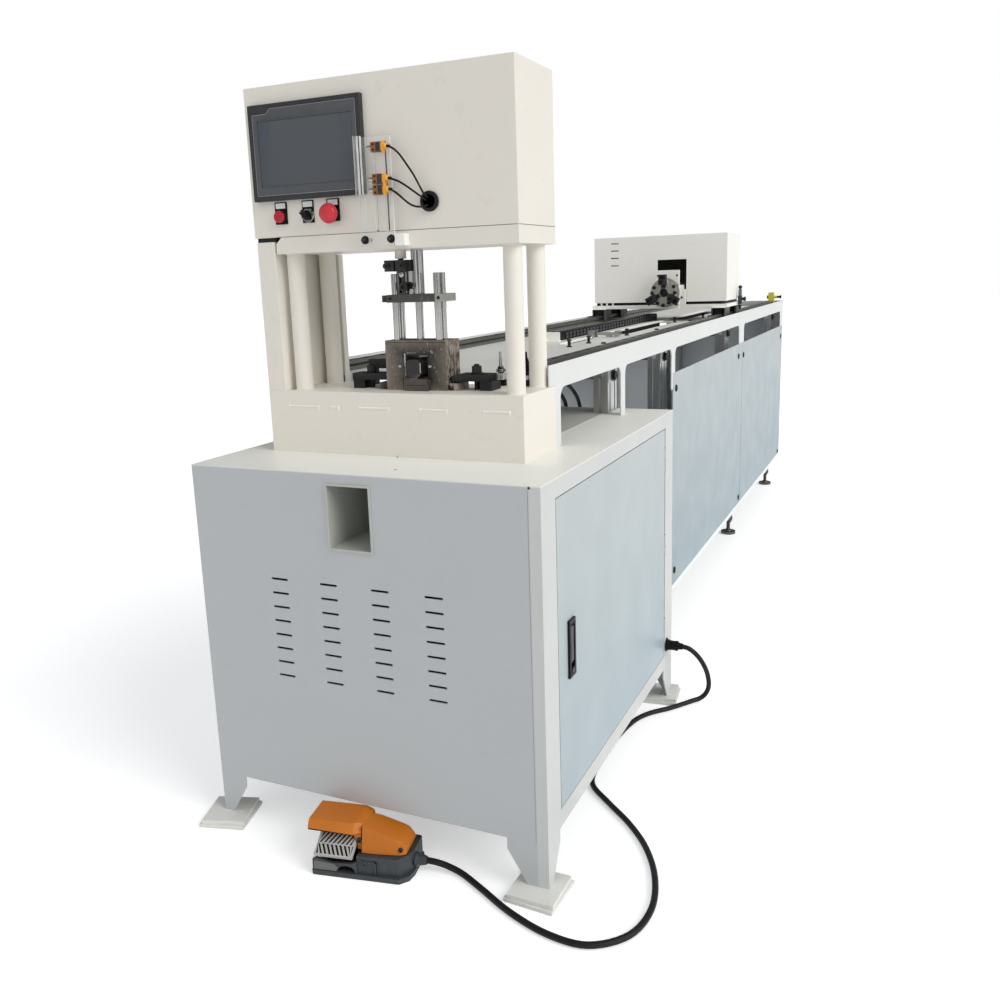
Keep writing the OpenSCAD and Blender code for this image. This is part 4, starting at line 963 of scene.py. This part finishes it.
def chuck():
    def around(degrees, out, y):
        """A place at a distance from the chuck's axis, and the way outwards."""
        a = radians(degrees)
        return ((CHUCK_X + out * sin(a), y, CHUCK_Z + out * cos(a)), (sin(a), 0, cos(a)))

    head = [(0, 7.4), (5, 7.4), (6, 6.4), (6, 3.4), (3, 3), (3, 0)]
    screws = [lathe(around(degrees, out, 2320.2)[0], FRONT, head) for degrees, out in (
        (-60, 44), (60, 49), (90, 47), (150, 46), (180, 49), (210, 47), (270, 46))]
    screws.append(lathe((CHUCK_X, 2345.5, CHUCK_Z), FRONT, [(0, 57.9), (1.6, 58.3), (3.2, 57.9)], 64))
    plug = [(0, 5.5), (1.4, 5.5), (1.4, 3.2), (0.4, 3), (0.4, 0)]
    screws += [lathe(*around(degrees, 57, 2352), plug, 20) for degrees in (60, 180, 300)]
    piece("chuck_screws", screws, "black_steel", body="chuck")
    bearing = lathe((CHUCK_X, 2369.5, CHUCK_Z), FRONT, [(0, 40), (6, 39), (8, 36), (8, 27)], 48)
    piece("chuck_bearing", [bearing], "dark_steel", body="carriage")
    for k in range(3):
        number, turn = str(k + 1), move(CHUCK_X, 0, CHUCK_Z) @ spin(120 * k, "Y")
        ribs = []
        for z in (34.5 + 5.2 * j for j in range(7)):
            half, y = (13.6, 2294.9) if z > 54 else (10.6, 2279.9)
            ribs.append(box(-half, y, z, half, y + 1, z + 2.4, turn))
        piece("jaw_ribs_" + number, ribs, "black_steel", 0.2, "jaw_" + number)
        glints = [box(x, 2318.8, 36, x + 4.2, 2320.2, 53, turn) for x in (-19.5, 15.4)]
        piece("chuck_glints_" + number, glints, "label_white", 0.2, "chuck")
        head = [(0, 6.4), (2.6, 6.2), (3, 5.6), (3, 3.2), (1.4, 3), (1.4, 0)]
        screws = [lathe(turn @ (Vector((0, y, z)) * MM) / MM, FRONT, head)
                  for y, z in ((2279.6, 44), (2294.6, 64))]
        piece("jaw_screws_" + number, screws, "black_plastic", body="jaw_" + number)


# ---- foot pedal: u runs along it, v into it from its open side
PEDAL = move(311, -108, 0) @ spin(10.7, "Z")
PEDAL_SIDE = PEDAL @ UPRIGHT
PEDAL_FRONT = PEDAL.to_3x3() @ Vector(FRONT)


def on_pedal(u, v, z):
    return PEDAL @ (Vector((u, v, z)) * MM)


def loft(*sections):
    """Closed form through outlines (v, z) that stand at u."""
    return [[on_pedal(u, v, z) for v, z in outline] for u, outline in sections]


def guard():
    def roof(low, front, edge, top):
        return [(front, low), (edge - 1.5, top - 2.5), (edge + 1.5, top), (97, top), (104, top - 7), (108, 50),
                (104.5, 50), (100.5, top - 11), (96, top - 5), (edge + 4, top - 5), (edge + 1, top - 7),
                (front + 4, low)]

    cap = [(20, 91.5), (28, 104), (97, 104), (101.5, 97), (104.5, 52), (86, 52), (86, 80), (60, 91.5)]
    shell = [loft((-12.2, roof(91, 17, 27, 107.6)), (40, roof(89.5, 15.5, 26, 107.6)),
                  (82, roof(88, 14.5, 25.5, 107.4)), (91, roof(87, 18, 30, 106.4)),
                  (98.5, roof(87, 25, 36, 103)), (104, roof(87, 27, 38, 100.5))),
             loft((-11.8, cap), (-8.2, cap))]
    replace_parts(piece("pedal_roof", shell, "orange_plastic", bevel=1, angle=30), "pedal_cover")

    def lid(low, high, top, back):
        return [(low, 50), (low + 0.5, 54), (high, top), (84, top), (90, top - 5 + back), (93, 50)]

    lids = [loft((97.8, lid(27, 37, 100.5, 0)), (101, lid(27, 36, 100.5, 0)), (105, lid(14.5, 26, 100.3, 0)),
                 (126, lid(14.2, 25, 97, 0)), (150, lid(16, 24, 90.5, -1)), (178, lid(19, 23.5, 82, -2)),
                 (187, lid(21, 27, 77.5, -4)), (197, lid(27, 34, 64, -3))),
            prism([(76, 92), (84, 80), (91.5, 68), (92, 50), (101, 50), (101, 96), (80, 96)],
                  PEDAL_SIDE @ move(0, 0, -31), 4.5)]
    piece("pedal_lid", lids, "orange_plastic", bevel=1.2, angle=30)
    strip = [(16.5, 85.5), (20.5, 85.5), (22, 91), (18.3, 91)]

    seals = [loft((-11.5, [(v + 1.5, z + 2) for v, z in strip]), (82, strip),
                  (98, [(v + 9, z) for v, z in strip])),
             loft(*((u, [(v, 48.4), (92.5, 48.4), (92.5, 50.4), (v, 50.4)])
                    for u, v in ((98.5, 14.2), (178, 19), (197.4, 27))))]
    piece("pedal_seal", seals, "rubber", 0.4)
    screws = [lathe(on_pedal(u, v, z) / MM, PEDAL_FRONT,
                    [(-3, r), (1, r), (1.8, r - 0.8), (1.8, r * 0.5), (0.4, r * 0.4), (0.4, 0)])
              for u, v, z, r in ((97.5, 25, 71, 6), (187, 20.5, 62, 4.6))]
    piece("pedal_screws", screws, "black_steel")


def pedal_base():
    plate = [(0, 0), (4, -2.5), (188, -2.5), (205, 13), (210.5, 34), (210.5, 98), (203, 105), (6, 105),
             (0, 100)]
    hump = [(97, 4), (184, 6), (198, 23), (207, 42), (207, 98), (202, 101), (97, 101)]
    wall = [(1, 10), (54, 10), (57, 18), (64, 24), (75, 26), (86, 24), (93, 18), (95, 10), (98, 10), (98, 38),
            (88, 33), (60, 31), (44, 30), (10, 38), (2, 34)]
    rear = [(2, 10), (97, 10), (97, 54), (90, 56), (84, 50), (8, 34), (2, 30)]
    casting = [prism(plate, PEDAL, 11), prism(hump, PEDAL @ move(0, 0, 10), 39),
               box(1, 82, 10, 98, 103, 50, PEDAL),
               prism(wall, PEDAL_SIDE @ move(0, 0, -6), 6), prism(rear, PEDAL_SIDE @ move(0, 0, -83.5), 4)]
    casting += [lathe(on_pedal(u, 4.5, z) / MM, PEDAL_FRONT,
                      [(-3, r), (2.4, r), (3.4, r - 1), (3.4, r * 0.5), (1.4, r * 0.45), (1.4, 0)])
                for u, z, r in ((114, 33, 7.5), (104, 39, 4))]
    casting += [box(122, 1.8, 36, 139, 6, 40, PEDAL), box(135, 1.8, 12, 139, 6, 40, PEDAL),
                box(141, 2.4, 12, 142.5, 6, 40, PEDAL),
                lathe(on_pedal(208, 52, 25) / MM, PEDAL.to_3x3() @ Vector(X),
                      [(0, 15), (4, 14), (8, 11.5), (14, 11), (23.8, 8.6)], 32)]
    # painted light: a lighter copy of the cast grey laid on the casting's side face
    lit_cheek = prism([(4, 12), (53, 12), (57, 20), (50, 27), (44, 28), (12, 31), (6, 31)],
                  PEDAL_SIDE @ move(0, 0, -0.2), 0.8)
    piece("pedal_lit_side", [lit_cheek], "cast_grey_lit_copy", 0.3)
    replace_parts(piece("pedal_casting", casting, "grey_cast", bevel=1.4), "pedal_base")
    mat = [box(6, 6, 10.8, 96, 82, 13.3, PEDAL)]
    mat += [box(u, 8, 13.2, u + 3, 80, 16.2, PEDAL) for u in (18, 30, 42, 54, 66, 78)]
    piece("pedal_floor", mat, "rubber", 0.4)


def treadle():
    slope = radians(29.2)
    rise, run = sin(slope), cos(slope)

    def sheet(outlines, lift, thick):
        """Plates on the treadle's slope; an outline is (u, way up the slope)."""
        return [[[on_pedal(u, -3 + w * run - h * rise, 47 + w * rise + h * run) for u, w in outline]
                 for h in (lift, lift + thick)] for outline in outlines]

    def bar(u0, w0, u1, w1):
        return [(u0, w0), (u1, w0), (u1, w1), (u0, w1)]

    slats = []
    for k in range(12):
        u = -2 + 9.4 * k
        for w0, w1, lean in ((1.8, 23.2, -12), (25.8, 48, 12)):
            corners = [(max(10.6, min(87.4, x)), w) for x, w in (
                (u, w0), (u + 4.6, w0), (u + 4.6 + lean, w1), (u + lean, w1))]
            if corners[1][0] - corners[0][0] > 1 or corners[2][0] - corners[3][0] > 1:
                slats.append(corners)
    ribs = sheet(slats, 2.2, 1.7)
    ribs += sheet([bar(7.8, -1, 90.2, 1.8), bar(7.8, 0, 10.6, 48.6), bar(87.4, 0, 90.2, 48.6),
                   bar(8, 23.2, 90, 25.8)], 0.4, 3.3)
    ribs += sheet([bar(7.8, -1.2, 90.2, 0.6)], -3.4, 4.4)
    piece("treadle_ribs", ribs, "treadle_alu", 0.25, "treadle")
    web = sheet([bar(8.2, 0.2, 89.8, 48.4)], 0.2, 2)
    piece("treadle_web", web, "black_plastic", 0.1, "treadle")


for build in (screen, screen_border, screen_surround, buttons, sensors, bracket, die_set, light_sensors, welds,
              head_trim, side_trim, window_details, bed_bolts, cable_carrier, stop_knobs, foot_sleeves,
              rail_blocks, carriage, chuck, guard, pedal_base, treadle):
    build()
